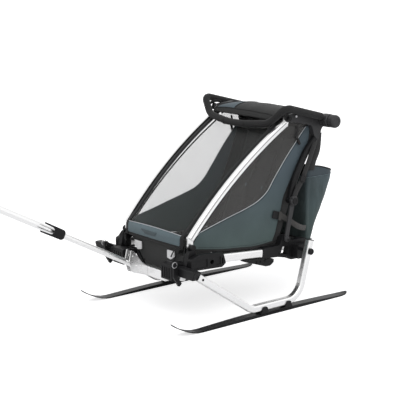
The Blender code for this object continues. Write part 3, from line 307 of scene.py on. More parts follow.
def moulding(outline, across, centre, up, out, edge=0.0006):
    """Small plate from an outline in (side, up) with a chamfered rim, standing out of its centre."""
    up, out = Vector(up).normalized(), Vector(out).normalized()
    side = up.cross(out)
    outline = [Vector(p) for p in outline]
    middle = sum(outline, Vector((0, 0))) / len(outline)
    bm = bmesh.new()
    rings = []
    for lift, inset in ((0.0, 0.0), (across - edge, 0.0), (across, edge)):
        drawn = [p - (p - middle).normalized() * inset for p in outline]
        rings.append([bm.verts.new(centre + side * p.x + up * p.y + out * lift) for p in drawn])
    return capped(bm, rings)


def rounded_box(width, height, radius, steps=4):
    """Outline of a rounded oblong as (side, up) points."""
    points = []
    for quarter, (a, b) in enumerate(((1, 1), (-1, 1), (-1, -1), (1, -1))):
        for i in range(steps + 1):
            turn = math.pi / 2 * (quarter + i / steps)
            points.append((a * (width / 2 - radius) + radius * math.cos(turn),
                           b * (height / 2 - radius) + radius * math.sin(turn)))
    return points


def bake(obj):
    """Turn an object's modifiers into its mesh."""
    view = bpy.context.evaluated_depsgraph_get()
    view.update()
    mesh = bpy.data.meshes.new_from_object(obj.evaluated_get(view))
    old = obj.data
    obj.modifiers.clear()
    obj.data = mesh
    mesh.name = obj.name
    bpy.data.meshes.remove(old)


def make(name, bm, finishes, body="chassis", angle=40, thickness=0.0):
    """A named piece in one or more finishes, which rides on a body and is thickened inward if it is a cloth."""
    mesh = bpy.data.meshes.new(name)
    bm.to_mesh(mesh)
    bm.free()
    obj = bpy.data.objects.new(name, mesh)
    bpy.context.scene.collection.objects.link(obj)
    for finish in finishes.split():
        mesh.materials.append(mat_of(finish))
    mesh.shade_smooth()
    mesh.set_sharp_from_angle(angle=math.radians(angle))
    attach(obj, body)
    if thickness:
        solid = obj.modifiers.new("cloth thickness", "SOLIDIFY")
        solid.thickness = thickness
        solid.offset = -1.0
        bake(obj)
    return obj


def bead(name, line, radius, finish="hem", body="chassis", outs=None, closed=False):
    """A thin round seam, piping or ring along a line."""
    return make(name, swept(line, round_section(radius), outs, closed=closed), finish, body)


def band(name, line, width, thickness, outs, finish="hem", body="chassis"):
    """A flat hem or strap along a line."""
    return make(name, swept(line, band_section(width, thickness), outs), finish, body)


def plate(name, place, box, thickness, up, out, finish="buckle", body="chassis"):
    """A small moulded plate on a surface. box is its width, height and corner radius."""
    return make(name, moulding(rounded_box(*box), thickness, place, up, out), finish, body)


def fold_with_frame(obj):
    """Give a soft piece a mesh of its own."""
    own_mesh(obj)


# Finishes

class Nodes:
    """A node tree under construction. Inputs are given as values, or as sockets to link."""

    def __init__(self, tree):
        self.tree = tree

    def add(self, kind, inputs, **settings):
        made = self.tree.nodes.new("ShaderNode" + kind)
        for key, value in settings.items():
            setattr(made, key, value)
        for key, value in inputs.items():
            if isinstance(value, bpy.types.NodeSocket):
                self.tree.links.new(value, made.inputs[key])
            else:
                made.inputs[key].default_value = value
        return made.outputs

    def calc(self, operation, *values):
        return self.add("Math", dict(enumerate(values)), operation=operation)[0]

    def spread(self, value, low, high, start=0.0, end=1.0):
        """Map a value from low..high to start..end."""
        return self.add("MapRange", {"Value": value, "From Min": low, "From Max": high, "To Min": start,
                                     "To Max": end})[0]

    def mixed(self, factor, a, b):
        return self.add("Mix", {0: factor, 6: a, 7: b}, data_type="RGBA")[2]

    def noise(self, place, scale, detail, **more):
        return self.add("TexNoise", {"Vector": place, "Scale": scale, "Detail": detail, **more})[0]

    def pattern(self, name, **values):
        """One of the node groups below, each of which is built once."""
        return self.add("Group", values, node_tree=bpy.data.node_groups.get(name) or new_pattern(name))


def threads(nodes, given):
    """Over-and-under threads with uneven yarn, from a place in metres on the cloth."""
    x, y = nodes.add("SeparateXYZ", {0: given["Place"]})[:2]
    turns = nodes.calc("DIVIDE", math.pi, given["Thread"])
    across, along = (nodes.calc("SINE", nodes.calc("MULTIPLY", value, turns)) for value in (x, y))
    slub = nodes.noise(given["Place"], 260.0, 3.0)
    return {"Height": nodes.calc("MULTIPLY_ADD", nodes.calc("MULTIPLY", across, along), 0.5, slub), "Slub": slub}


def mottling(nodes, given):
    """Slow changes of tone from handling and uneven dye, and the slack in stretched cloth."""
    slow = nodes.noise(given["Place"], given["Scale"], 4.0, Roughness=0.55)
    fine = nodes.noise(given["Place"], 420.0, 2.0)
    tone = nodes.calc("MULTIPLY_ADD", nodes.calc("SUBTRACT", slow, 0.5), given["Amount"], 0.5)
    speck = nodes.calc("MULTIPLY", nodes.calc("SUBTRACT", fine, 0.5), 0.25)
    return {"Tone": nodes.calc("ADD", tone, speck), "Slack": slow}


def moulded_grain(nodes, given):
    """Moulded or sprayed surface: fine pebbling, a slower waviness and faint handling marks."""
    pebble = nodes.noise(given["Place"], given["Scale"], 3.0)
    wave = nodes.noise(given["Place"], 35.0, 2.0)
    marks = nodes.noise(given["Place"], 120.0, 5.0, Roughness=0.7, Distortion=0.6)
    return {"Height": nodes.calc("MULTIPLY_ADD", wave, 0.6, pebble), "Marks": nodes.spread(marks, 0.35, 0.75)}


def rubbed_edges(nodes, given):
    """Rubbed edges: where the surface turns sharply, broken up by noise."""
    rounded = nodes.add("Bevel", {"Radius": given["Width"]}, samples=4)[0]
    flat = nodes.add("NewGeometry", {})["Normal"]
    facing = nodes.add("VectorMath", {0: rounded, 1: flat}, operation="DOT_PRODUCT")["Value"]
    worn = nodes.noise(given["Place"], 90.0, 4.0)
    edge = nodes.spread(facing, 0.985, 0.80)
    return {"Mask": nodes.calc("MULTIPLY", edge, nodes.spread(worn, 0.35, 0.65))}


def drawn_lines(nodes, given):
    """Fine drawn lines along one axis of the place, for extruded and brushed metal."""
    stretched = nodes.add("VectorMath", {0: given["Place"], 1: given["Stretch"]}, operation="MULTIPLY")[0]
    return {"Lines": nodes.noise(stretched, 1.0, 3.0), "Haze": nodes.noise(given["Place"], 12.0, 3.0)}


# Each pattern's builder and inputs. An input without a value is a vector.
PATTERNS = {"Woven threads": (threads, {"Place": None, "Thread": 0.0007}),
            "Mottling": (mottling, {"Place": None, "Scale": 9.0, "Amount": 1.0}),
            "Moulded grain": (moulded_grain, {"Place": None, "Scale": 1500.0}),
            "Rubbed edges": (rubbed_edges, {"Place": None, "Width": 0.0012}),
            "Drawn lines": (drawn_lines, {"Place": None, "Stretch": None})}


def new_pattern(name):
    """A pattern's node group, with its inputs and its output values."""
    build, inputs = PATTERNS[name]
    tree = bpy.data.node_groups.new(name, "ShaderNodeTree")
    for label, default in inputs.items():
        kind = "NodeSocketVector" if default is None else "NodeSocketFloat"
        socket = tree.interface.new_socket(label, in_out="INPUT", socket_type=kind)
        if default is not None:
            socket.default_value = default
    values = build(Nodes(tree), tree.nodes.new("NodeGroupInput").outputs)
    for label in values:
        tree.interface.new_socket(label, in_out="OUTPUT", socket_type="NodeSocketFloat")
    leave = tree.nodes.new("NodeGroupOutput")
    for label, value in values.items():
        tree.links.new(value, leave.inputs[label])
    return tree


def tint(color, factor):
    return (color[0] * factor, color[1] * factor, color[2] * factor, 1.0)


class Finish(Nodes):
    """A material under construction, with the places on the body and on the cloth that patterns are laid by."""

    def __init__(self, name, roughness, metallic=0.0, **plain):
        self.mat = bpy.data.materials.new(name)
        self.mat.use_nodes = True
        super().__init__(self.mat.node_tree)
        self.shader = self.tree.nodes["Principled BSDF"].inputs
        for key, value in {"Roughness": roughness, "Metallic": metallic, **plain}.items():
            self.shader[key.replace("_", " ")].default_value = value
        places = self.add("TexCoord", {})
        self.body, self.cloth = places["Object"], places["UV"]

    def link(self, key, value):
        self.tree.links.new(value, self.shader[key])

    def mottle(self, scale, amount=1.0):
        return self.pattern("Mottling", Place=self.body, Scale=scale, Amount=amount)

    def toned(self, tone, color, dark, light):
        """A colour that changes between a darker and a lighter tint of itself."""
        return self.mixed(tone, tint(color, dark), tint(color, light))

    def bump(self, height, strength, distance, **under):
        normal = self.add("Bump", {"Height": height, "Strength": strength, "Distance": distance, **under})[0]
        self.link("Normal", normal)
        return normal


def cloth_finish(name, color, roughness, slack=0.0012, slope=None, high=None, painted_crease_shade=False, coarse=1.0):
    """Coated woven cloth: threads, mottled dye and a slack that catches the light.

    slope is the way that the threads run on a piece without UVs, high is the colour higher up, and with creases the
    colour is darkened in the hanging folds as painted shade.
    """
    f = Finish(name, roughness, Sheen_Weight=0.08, Sheen_Roughness=0.5, Specular_IOR_Level=0.28)
    thread = sizes().thread * coarse
    spot = f.cloth
    if slope:
        along = f.add("VectorMath", {0: f.body, 1: slope}, operation="DOT_PRODUCT")["Value"]
        spot = f.add("CombineXYZ", {0: f.add("SeparateXYZ", {0: f.body})[0], 1: along})[0]
    weave = f.pattern("Woven threads", Place=spot, Thread=thread)
    mottle = f.mottle(7.0, 1.4)
    shade = f.toned(mottle["Tone"], color, 0.82, 1.18)
    if high:
        level = f.add("SeparateXYZ", {0: f.body})[2]
        shade = f.mixed(f.spread(level, 0.30, 0.62), shade, f.toned(mottle["Tone"], high, 0.82, 1.18))
    drape_and_crease_shade = mottle["Slack"]
    # Painted shade: in the hanging creases the colour darkens towards 0.38 of itself, where shade would fall.
    if painted_crease_shade:
        hanging = f.add("VectorMath", {0: f.body, 1: (13.0, 13.0, 2.6)}, operation="MULTIPLY")[0]
        drape_and_crease_shade = f.noise(hanging, 1.0, 3.0, Distortion=0.6)
        shade = f.mixed(f.spread(drape_and_crease_shade, 0.36, 0.60, 0.0, 0.62), shade, tint(color, 0.38))
    f.link("Base Color", shade)
    f.link("Roughness", f.spread(weave["Slub"], 0.3, 0.7, roughness - 0.08, roughness + 0.08))
    f.bump(weave["Height"], 0.45, thread * 0.35, Normal=f.bump(drape_and_crease_shade, 0.5, slack * 4))
    return f.mat


def film_finish(name, color, roughness):
    """Tinted see-through cover: a smooth film over a fine mesh of threads, tinted on its outer face only."""
    f = Finish(name, roughness, Specular_IOR_Level=0.45)
    weave = f.pattern("Woven threads", Place=f.cloth, Thread=0.0012)
    slack = f.mottle(5.0)["Slack"]
    f.link("Base Color", f.toned(slack, color, 0.85, 1.15))
    f.link("Roughness", f.spread(weave["Height"], -0.3, 1.3, roughness - 0.04, roughness + 0.04))
    solid = 1 - sizes().clear
    inner = f.calc("MULTIPLY_ADD", f.add("NewGeometry", {})["Backfacing"], -0.93, 1.0)
    f.link("Alpha", f.calc("MULTIPLY", f.spread(slack, 0.3, 0.7, solid - 0.01, solid + 0.01), inner))
    f.bump(weave["Height"], 0.05, 0.00003, Normal=f.bump(slack, 0.35, 0.004))
    return f.mat


def plastic_finish(name, color, roughness, grain=1500.0, worn=1.9):
    """Moulded plastic or powder-coated casting with rubbed edges."""
    f = Finish(name, roughness, Specular_IOR_Level=0.18)
    pebble = f.pattern("Moulded grain", Place=f.body, Scale=grain)
    edges = f.pattern("Rubbed edges", Place=f.body, Width=0.0010)
    shade = f.toned(f.mottle(18.0)["Tone"], color, 0.86, 1.14)
    f.link("Base Color", f.mixed(edges["Mask"], shade, tint(color, worn)))
    f.link("Roughness", f.spread(pebble["Marks"], 0.0, 1.0, roughness - 0.07, roughness + 0.09))
    f.bump(pebble["Height"], 0.35, 0.00008, Normal=f.add("Bevel", {"Radius": 0.0007}, samples=4)[0])
    return f.mat


def metal_finish(name, color, roughness, stretch):
    """Anodised drawn aluminium or plated steel: fine lines, haze and soft handling marks."""
    f = Finish(name, roughness, 1.0)
    lines = f.pattern("Drawn lines", Place=f.body, Stretch=stretch)
    grain = f.pattern("Moulded grain", Place=f.body, Scale=900.0)
    f.link("Base Color", f.toned(lines["Haze"], color, 0.96, 1.03))
    rough = f.spread(lines["Lines"], 0.3, 0.7, roughness - 0.03, roughness + 0.03)
    f.link("Roughness", f.calc("MULTIPLY_ADD", grain["Marks"], 0.03, rough))
    f.bump(lines["Lines"], 0.06, 0.00002)
    return f.mat


def webbing_finish(name, color):
    """Woven strap with cross ribs and a fine twill."""
    f = Finish(name, 0.7, Sheen_Weight=0.1, Specular_IOR_Level=0.25)
    across, along = f.add("SeparateXYZ", {0: f.cloth})[:2]
    ribs = f.calc("SINE", f.calc("MULTIPLY", along, math.tau / 0.0016))
    twill = f.calc("SINE", f.calc("MULTIPLY", across, math.tau / 0.0022))
    f.link("Base Color", f.toned(f.mottle(40.0)["Tone"], color, 0.75, 1.25))
    f.bump(f.calc("MULTIPLY_ADD", twill, 0.4, ribs), 0.5, 0.0002)
    return f.mat


def foam_finish(name, color):
    """Closed-cell foam grip: fine open pores and a soft rubbed sheen."""
    f = Finish(name, 0.78, Sheen_Weight=0.06, Specular_IOR_Level=0.25)
    cells = f.add("TexVoronoi", {"Vector": f.body, "Scale": 900.0})["Distance"]
    grain = f.pattern("Moulded grain", Place=f.body, Scale=700.0)
    f.link("Base Color", f.toned(f.mottle(22.0, 1.2)["Tone"], color, 0.8, 1.3))
    f.bump(f.calc("MULTIPLY_ADD", cells, -0.8, grain["Height"]), 0.6, 0.0002)
    return f.mat


def ski_finish(name, color):
    """Lacquered ski with fine scratches along its length."""
    f = Finish(name, 0.34, Coat_Weight=0.03, Coat_Roughness=0.15, Specular_IOR_Level=0.13)
    lines = f.pattern("Drawn lines", Place=f.body, Stretch=(900.0, 14.0, 900.0))["Lines"]
    scratch = f.spread(lines, 0.60, 0.72)
    shade = f.toned(f.mottle(14.0)["Tone"], color, 0.85, 1.15)
    f.link("Base Color", f.mixed(scratch, shade, tint(color, 2.2)))
    f.link("Roughness", f.spread(scratch, 0.0, 1.0, 0.32, 0.46))
    f.bump(lines, 0.10, 0.00004, Normal=f.add("Bevel", {"Radius": 0.0012}, samples=4)[0])
    return f.mat


def lens_finish(name, color):
    """Clear prismatic lens: small raised prisms under a glossy skin."""
    f = Finish(name, 0.12, Coat_Weight=0.6, Coat_Roughness=0.03)
    prisms = f.add("TexVoronoi", {"Vector": f.body, "Scale": 420.0}, feature="F1")["Distance"]
    f.link("Base Color", f.toned(f.spread(prisms, 0.1, 0.7), color, 1.1, 0.80))
    f.bump(prisms, 0.5, 0.0006)
    return f.mat


# Each finish by its name, from the colours that a user has set
MAKERS = {
    "blue": lambda c: cloth_finish("Blue-grey cloth", c.blue_cloth, 0.66, high=c.blue_cloth_high),
    # The bag's cloth has painted shade in its hanging creases.
    "bag": lambda c: cloth_finish("Bag cloth", c.blue_cloth, 0.66, 0.0030, high=c.blue_cloth_high, painted_crease_shade=True),
    "rim": lambda c: cloth_finish("Bag rim cloth", tint(c.blue_cloth_high, 0.62), 0.60, 0.0020),
    "strip": lambda c: cloth_finish("Front strip cloth", c.strip_cloth, 0.60, 0.0006),
    "patch": lambda c: cloth_finish("Strip patch cloth", tint(c.strip_cloth, 0.55), 0.55, 0.0004),
    "black": lambda c: cloth_finish("Black cloth", c.black_cloth, 0.75),
    "tub": lambda c: cloth_finish("Foot panel cloth", c.black_cloth, 0.62, 0.0008, (0.0, 0.0, 1.0)),
    "seat": lambda c: cloth_finish("Seat cloth", c.black_cloth, 0.80, 0.0006, (0.0, *BACKREST_ALONG)),
    "hem": lambda c: cloth_finish("Hem tape", tint(c.black_cloth, 0.55), 0.80, 0.0003, coarse=1.4),
    "piping": lambda c: cloth_finish("Reflective piping", c.piping, 0.42, 0.0001),
    "film": lambda c: film_finish("Cover film", c.film, 0.32),
    "window": lambda c: film_finish("Window film", c.window, 0.36),
    "webbing": lambda c: webbing_finish("Black webbing", c.webbing),
    "grey_webbing": lambda c: webbing_finish("Grey webbing", c.worn_webbing),
    "plastic": lambda c: plastic_finish("Black moulding", c.plastic, 0.42),
    "buckle": lambda c: plastic_finish("Buckle moulding", tint(c.plastic, 1.3), 0.30, 2200.0),
    "zip": lambda c: plastic_finish("Zip coil", tint(c.plastic, 2.6), 0.38, 2200.0),
    # The post insert's grey is painted shade: it stands for the shade line along the post's front edge.
    "insert": lambda c: plastic_finish("Post insert with painted shade", (0.45, 0.45, 0.45), 0.40, 2200.0, 1.2),
    "casting": lambda c: plastic_finish("Coated casting", c.casting, 0.40, 2600.0, 1.6),
    "foam": lambda c: foam_finish("Grip foam", c.foam),
    "ski": lambda c: ski_finish("Lacquered ski", c.ski),
    "lens": lambda c: lens_finish("Reflector lens", (0.86, 0.86, 0.87)),
    "post": lambda c: metal_finish("Anodised post", c.aluminium, 0.30, (900.0, 18.0, 18.0)),
    "tube": lambda c: metal_finish("Anodised tube", c.aluminium, 0.28, (900.0, 18.0, 60.0)),
    "steel": lambda c: metal_finish("Plated steel", (0.55, 0.55, 0.56), 0.30, (300.0, 300.0, 300.0)),
}
FINISHES = {}


def mat_of(name):
    """A finish by its name, made the first time it is asked for."""
    if name not in FINISHES:
        FINISHES[name] = MAKERS[name](bpy.context.scene.sled_colours)
    return FINISHES[name]


# Values that a user would change

def colour(name, description, default):
    return FloatVectorProperty(name=name, description=description, subtype="COLOR", size=3, default=default)


def measure(name, description, default, low, high):
    return FloatProperty(name=name, description=description, unit="LENGTH", default=default, min=low, max=high)


class SledColours(bpy.types.PropertyGroup):
    """Colours of the cloth and trim, linear."""
    blue_cloth: colour("Blue-grey cloth", "Side panels and luggage bag", (0.060, 0.087, 0.085))
    blue_cloth_high: colour("Blue-grey cloth, upper part", "Its bluer tone higher up", (0.068, 0.093, 0.110))
    strip_cloth: colour("Front strip", "Lighter strip at the cover's foot", (0.108, 0.148, 0.165))
    black_cloth: colour("Black cloth", "Hems, roof, seat and foot panel", (0.021, 0.0215, 0.0215))
    film: colour("Cover tint", "See-through front cover", (0.045, 0.047, 0.046))
    window: colour("Window tint", "See-through side windows", (0.175, 0.172, 0.168))
    piping: colour("Piping", "Light reflective edge of the windows", (0.50, 0.52, 0.54))
    aluminium: colour("Aluminium", "Anodised posts, rails, arms and pole", (0.90, 0.90, 0.90))
    plastic: colour("Black plastic", "Moulded fittings", (0.009, 0.009, 0.0098))
    casting: colour("Casting", "Coated arms and links of the frame", (0.042, 0.042, 0.044))
    foam: colour("Foam", "Handlebar grip", (0.014, 0.014, 0.0145))
    ski: colour("Ski", "Lacquered skis", (0.008, 0.0084, 0.0092))
    webbing: colour("Webbing", "Straps and harness", (0.016, 0.016, 0.0165))
    worn_webbing: colour("Grey webbing", "Compression straps of the bag", (0.050, 0.048, 0.046))


class SledSizes(bpy.types.PropertyGroup):
    """Sizes of the cloth and trim."""
    thread: measure("Thread", "Distance between threads of the cloth", 0.0007, 0.0003, 0.002)
    cloth: measure("Bag cloth", "Thickness of the bag's cloth", 0.0016, 0.0005, 0.004)
    hem: measure("Cover hem", "Width of the dark band beside each post", 0.027, 0.010, 0.040)
    piping: measure("Piping", "Diameter of the light piping", 0.0032, 0.001, 0.006)
    hollow: measure("Hollow", "How far stretched cloth is drawn in between its edges", 0.006, 0.0, 0.020)
    cell: measure("Cloth grid", "Spacing of the points in the side cloth", 0.011, 0.005, 0.030)
    clear: FloatProperty(name="Clearness", description="Share of the light that the tinted film lets through",
                         subtype="FACTOR", default=0.69, min=0.0, max=1.0)
    segments: IntProperty(name="Rows", description="Rows of points along the front cover", default=90, min=20,
                          max=200)


def sizes():
    return bpy.context.scene.sled_sizes


# Operators

class SledOperator:
    """What the operators below share."""
    bl_options = {"REGISTER", "UNDO"}

    def execute(self, context):
        self.build()
        return {"FINISHED"}


SLOT_FINISH = {"bright_aluminium": "tube", "black_plastic": "plastic", "grey_casting": "casting",
               "black_foam": "foam", "ski_black": "ski", "zinc_steel": "steel", "reflector_lens": "lens",
               "black_fabric": "tub", "blue_grey_fabric": "blue"}
NODE_FINISH = {"front_post_left": "post", "front_post_right": "post", "axle_pin_left": "plastic",
               "axle_pin_right": "plastic"}


class SLED_OT_rigid_finishes(SledOperator, bpy.types.Operator):
    """Give the frame, skis, pole and fittings their finishes"""
    bl_idname = "sled.rigid_finishes"
    bl_label = "Rigid Finishes"

    def build(self):
        for subpart in frame["record"]["subparts"]:
            name = subpart["node"]
            wanted = NODE_FINISH.get(name, SLOT_FINISH[subpart["material_slot"]])
            for place in frame["nodes"][name].material_slots:
                place.material = mat_of(wanted)


class Cover:
    """The front cover's surface between the posts, on a middle line of (y, z, forward bulge)."""

    def __init__(self):
        rows = [Vector(row) for row in COVER_FOOT]
        for y, z in post_line(COVER_LIFT, 12)[1:]:
            share = (y - POST_BOTTOM.x) / (POST_TOP.x - POST_BOTTOM.x)
            rows.append(Vector((y, z, COVER_BULGE * (1 - share) + 0.002)))
        self.rows = smooth_line(rows, 8)
        self.steps = [0.0]
        for a, b in zip(self.rows, self.rows[1:]):
            self.steps.append(self.steps[-1] + (b.xy - a.xy).length)
        self.length = self.steps[-1]

    def row(self, distance):
        """The line's place and forward direction at a distance from the cover's foot."""
        distance = min(max(distance, 0.0), self.length)
        i = next((k for k in range(1, len(self.steps)) if self.steps[k] >= distance), len(self.steps) - 1)
        a, b = self.rows[i - 1], self.rows[i]
        t = (distance - self.steps[i - 1]) / max(self.steps[i] - self.steps[i - 1], 1e-9)
        ahead = (b.xy - a.xy).normalized()
        return a.lerp(b, t), Vector((-ahead.y, ahead.x))

    def half(self, distance):
        """Half the clear width between the posts."""
        z = self.row(distance)[0].y
        return post_x(max(z, POST_PIVOT[1])) - POST_WIDTH / 2 - COVER_GAP

    def place(self, x, distance, lift=0.0):
        """A point on the cover, lift in front of its cloth."""
        row, out = self.row(distance)
        t = min(abs(x) / self.half(distance), 1.0)
        rise = row.z * (1 - t * t) + lift
        return at(x, row.x + out.x * rise, row.y + out.y * rise)

    def out(self, distance):
        forward = self.row(distance)[1]
        return Vector((0, forward.x, forward.y))

    def at_height(self, z):
        """The distance from the cover's foot at which the line reaches a height."""
        return next((step for row, step in zip(self.rows, self.steps) if row.y >= z), self.length)


class SLED_OT_front_cover(SledOperator, bpy.types.Operator):
    """Stretch the see-through cover between the posts, with its hems, welts, seams and zips"""
    bl_idname = "sled.front_cover"
    bl_label = "Front Cover"

    def build(self):
        cover = Cover()
        s = sizes()
        start = cover.at_height(FILM_FOOT_Z)
        width = 2 * cover.half(cover.length * 0.5)

        def film_place(across, along):
            distance = start + (cover.length - start) * along
            return cover.place((across * 2 - 1) * cover.half(distance), distance)

        film = make("cover_film", grid(film_place, 28, s.segments, width, cover.length - start), "film",
                    "front_frame", thickness=0.0007)
        stations = [cover.length * i / 70 for i in range(71)]
        outs = [cover.out(d) for d in stations]
        teeth = [1.0 + 0.10 * math.sin(i * 2.4) for i in range(len(stations))]
        face = post_line(POST_DEPTH / 2, 40)
        beyond = face[1:] + [face[-1] * 2 - face[-2]]
        ahead = [Vector((0, -(b.y - a.y), b.x - a.x)).normalized() for a, b in zip(face, beyond)]
        inner = POST_WIDTH / 2
        welt = [(-inner - 0.0013, -0.0090), (-inner - 0.0001, -0.0090), (-inner - 0.0001, 0.0001),
                (-inner + 0.0040, 0.0001), (-inner + 0.0034, 0.0010), (-inner, 0.0015), (-inner - 0.0013, 0.0004)]
        for side, x_sign in SIDES:
            def beside_post(inset, lift):
                return [cover.place(x_sign * (cover.half(d) - inset), d, lift) for d in stations]

            band(f"cover_hem_{side}", beside_post(s.hem / 2 + 0.0005, 0.0004), s.hem, 0.0016, outs,
                               body="front_frame")
            coil = swept(beside_post(s.hem * 0.52, 0.0022), band_section(0.0060, 0.0016), outs, teeth)
            make(f"cover_zip_{side}", coil, "zip", "front_frame")
            corner = [at(x_sign * post_x(p.y), p.x, p.y) for p in face]
            guard = swept(corner, [(x_sign * p, q) for p, q in welt], ahead)
            make(f"cover_welt_{side}", guard, "hem", "front_frame")
            stitches = [swept(beside_post(inset, 0.0020), round_section(0.0005, 6), outs)
                        for inset in (0.0030, s.hem - 0.0030)]
            make(f"cover_hem_seams_{side}", joined(stitches), "black", "front_frame")
        head = [cover.place(x * 0.01 * cover.half(cover.length), cover.length - 0.002) for x in range(-99, 100, 6)]
        bead("cover_head_hem", head, 0.0022, body="front_frame")
        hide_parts("front_cover")


class SLED_OT_front_strip(SledOperator, bpy.types.Operator):
    """Lay the blue-grey strip, its piping and its plain patch across the cover's foot"""
    bl_idname = "sled.front_strip"
    bl_label = "Front Strip"

    def build(self):
        cover = Cover()
        low, high = (cover.at_height(z) for z in STRIP_Z)
        patch_foot = cover.at_height(PATCH_Z)
        half = STRIP_HALF
        skirt = 0.004    # how far the sill hangs below the cover's foot

        def strip_place(across, along):
            lift = 0.0022 + 0.0012 * math.sin(math.pi * along)
            return cover.place((across * 2 - 1) * half, low + (high - low) * along, lift)

        def sill_place(across, along):
            distance = -skirt + (high + skirt) * along
            x = (across * 2 - 1) * (cover.half(max(distance, 0)) - 0.002)
            place = cover.place(x, max(distance, 0.0), 0.0004)
            return place + Vector((0, 0, min(distance, 0.0)))

        def patch_place(across, along):
            left, right = (foot + (top - foot) * along for top, foot in zip(PATCH_TOP, PATCH_FOOT))
            return cover.place(left + (right - left) * across, patch_foot + PATCH_HEIGHT * along, 0.0042)

        make("front_strip", grid(strip_place, 40, 10, 2 * half, high - low), "strip", "front_frame",
             thickness=0.0016)
        make("cover_sill", grid(sill_place, 40, 12, 2 * half, high), "black", "front_frame", thickness=0.0014)
        for name, distance, edge in (("top", high, "piping"), ("low", low, "hem")):
            line = [cover.place(half * (i / 20 - 1), distance, 0.0034) for i in range(41)]
            bead(f"front_strip_piping_{name}", line, sizes().piping / 2, edge, "front_frame",
                 cover.out(distance))
        ends = [swept([cover.place(x_sign * half, low + (high - low) * i / 10, 0.0030) for i in range(11)],
                      round_section(0.0014)) for side, x_sign in SIDES]
        make("front_strip_ends", joined(ends), "hem", "front_frame")
        make("front_strip_patch", grid(patch_place, 20, 6, PATCH_TOP[1] - PATCH_TOP[0], PATCH_HEIGHT), "patch",
             "front_frame", thickness=THIN_CLOTH)


def distance_to(outline, y, z):
    """How far a point is from an outline's edge."""
    point = Vector((y, z))
    best = 1.0
    for a, b in zip(outline, outline[1:] + outline[:1]):
        a, b = Vector(a), Vector(b)
        along = b - a
        t = min(max((point - a).dot(along) / max(along.length_squared, 1e-12), 0.0), 1.0)
        best = min(best, (a + along * t - point).length)
    return best


class SideCloth:
    """The side cloth's outlines, and its plane with its hollow and slack."""

    def __init__(self):
        edge = [tuple(p) for p in smooth_line(WINDOW_EDGE, 6)]
        front = [tuple(p) for p in post_line(-POST_DEPTH / 2 - 0.004)]    # just behind the post
        meet = min(range(len(front)), key=lambda i: math.dist(front[i], edge[0]))
        edge[0] = front[meet]
        self.edge = edge
        self.window = edge + PANEL_TOP + front[:meet:-1]
        self.lower = edge[::-1] + front[:meet][::-1] + PANEL_HEM[::-1] + PANEL_REAR[::-1]
        self.rim = front + PANEL_TOP[::-1] + PANEL_REAR + PANEL_HEM

    def x(self, y, z, lift=0.0):
        """The cloth's distance from the middle plane."""
        inside = distance_to(self.rim, y, z)
        drawn = sizes().hollow * (1 - math.exp(-inside / 0.05))
        slack = 0.0022 * (1 - math.exp(-inside / 0.03))
        wave = noise.noise(Vector((y * 11, z * 6, 3.1))) + 0.5 * noise.noise(Vector((y * 25, z * 16, 8.3)))
        return PANEL_X - drawn + slack * wave + lift


def divided(outlines, cell):
    """Flat cloth in the y-z plane from outlines that share an edge, cut into a grid."""
    bm = bmesh.new()
    for index, outline in enumerate(outlines):
        face = bm.faces.new([bm.verts.new((0, y, z)) for y, z in outline])
        face.material_index = index
    bmesh.ops.remove_doubles(bm, verts=bm.verts, dist=1e-5)
    for axis, normal in ((1, Vector((0, 1, 0))), (2, Vector((0, 0, 1)))):
        values = [v.co[axis] for v in bm.verts]
        level = min(values) + cell * 0.5
        while level < max(values):
            everything = bm.verts[:] + bm.edges[:] + bm.faces[:]
            bmesh.ops.bisect_plane(bm, geom=everything, dist=1e-6, plane_co=normal * level, plane_no=normal)
            level += cell
    layer = bm.loops.layers.uv.new("UVMap")
    for face in bm.faces:
        for loop in face.loops:
            loop[layer].uv = loop.vert.co.yz
    return bm


class SLED_OT_side_panels(SledOperator, bpy.types.Operator):
    """Hang the side cloth with its window, piping and edge binding on both sides"""
    bl_idname = "sled.side_panels"
    bl_label = "Side Panels"

    def build(self):
        cloth = SideCloth()
        s = sizes()
        seam = [(y + 0.0042, z - 0.0048) for y, z in cloth.edge]
        rear = smooth_line([(0.3500, 0.8300)] + [(y - 0.003, z) for y, z in PANEL_REAR], 3)
        foot = smooth_line([(0.1460, 0.2890)] + [(y, z + 0.004) for y, z in PANEL_HEM], 4)
        roof = smooth_line([(0.2250, 0.8290), (0.2550, 0.8370), (0.3420, 0.8310)], 4)
        stitch = [(y, z + 0.012) for y, z in foot[1:-1]]
        trims = (("window_piping", cloth.edge, round_section(s.piping / 2), "piping", 0.0012, "blue_grey_fabric"),
                 ("window_seam", seam[2:-1], band_section(0.0016, 0.0009), "hem", 0.0004, "black_fabric"),
                 ("front_binding", post_line(-POST_DEPTH / 2 - 0.0075), band_section(0.009, 0.0018), "hem", 0.0004,
                  "black_fabric"),
                 ("rear_binding", rear, band_section(0.007, 0.0022), "hem", 0.0004, "black_fabric"),
                 ("foot_hem", foot, band_section(0.010, 0.0020), "hem", 0.0004, "black_fabric"),
                 ("head_hem", roof, band_section(0.010, 0.0020), "hem", 0.0004, "black_fabric"),
                 ("foot_stitch", stitch, round_section(0.0005, 6), "hem", 0.0008, "black_fabric"))
        for side, x_sign in SIDES:
            bm = divided((cloth.window, cloth.lower), s.cell)
            for v in bm.verts:
                y, z = v.co.yz
                v.co = at(x_sign * cloth.x(y, z), y, z)
            bmesh.ops.recalc_face_normals(bm, faces=bm.faces)
            if sum(face.normal.x for face in bm.faces) * x_sign < 0:
                bmesh.ops.reverse_faces(bm, faces=bm.faces)
            panel = make(f"side_cloth_{side}", bm, "window blue", "chassis", 180, THIN_CLOTH)
            fold_with_frame(panel)
            pieces = []
            for name, line, section, edge, lift, slot_name in trims:
                points = [at(x_sign * cloth.x(y, z, lift), y, z) for y, z in line]
                skin = swept(points, section, Vector((x_sign, 0, 0)))
                pieces.append(make(f"{name}_{side}", skin, edge, "chassis"))
                fold_with_frame(pieces[-1])
            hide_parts(f"side_panel_{side}")


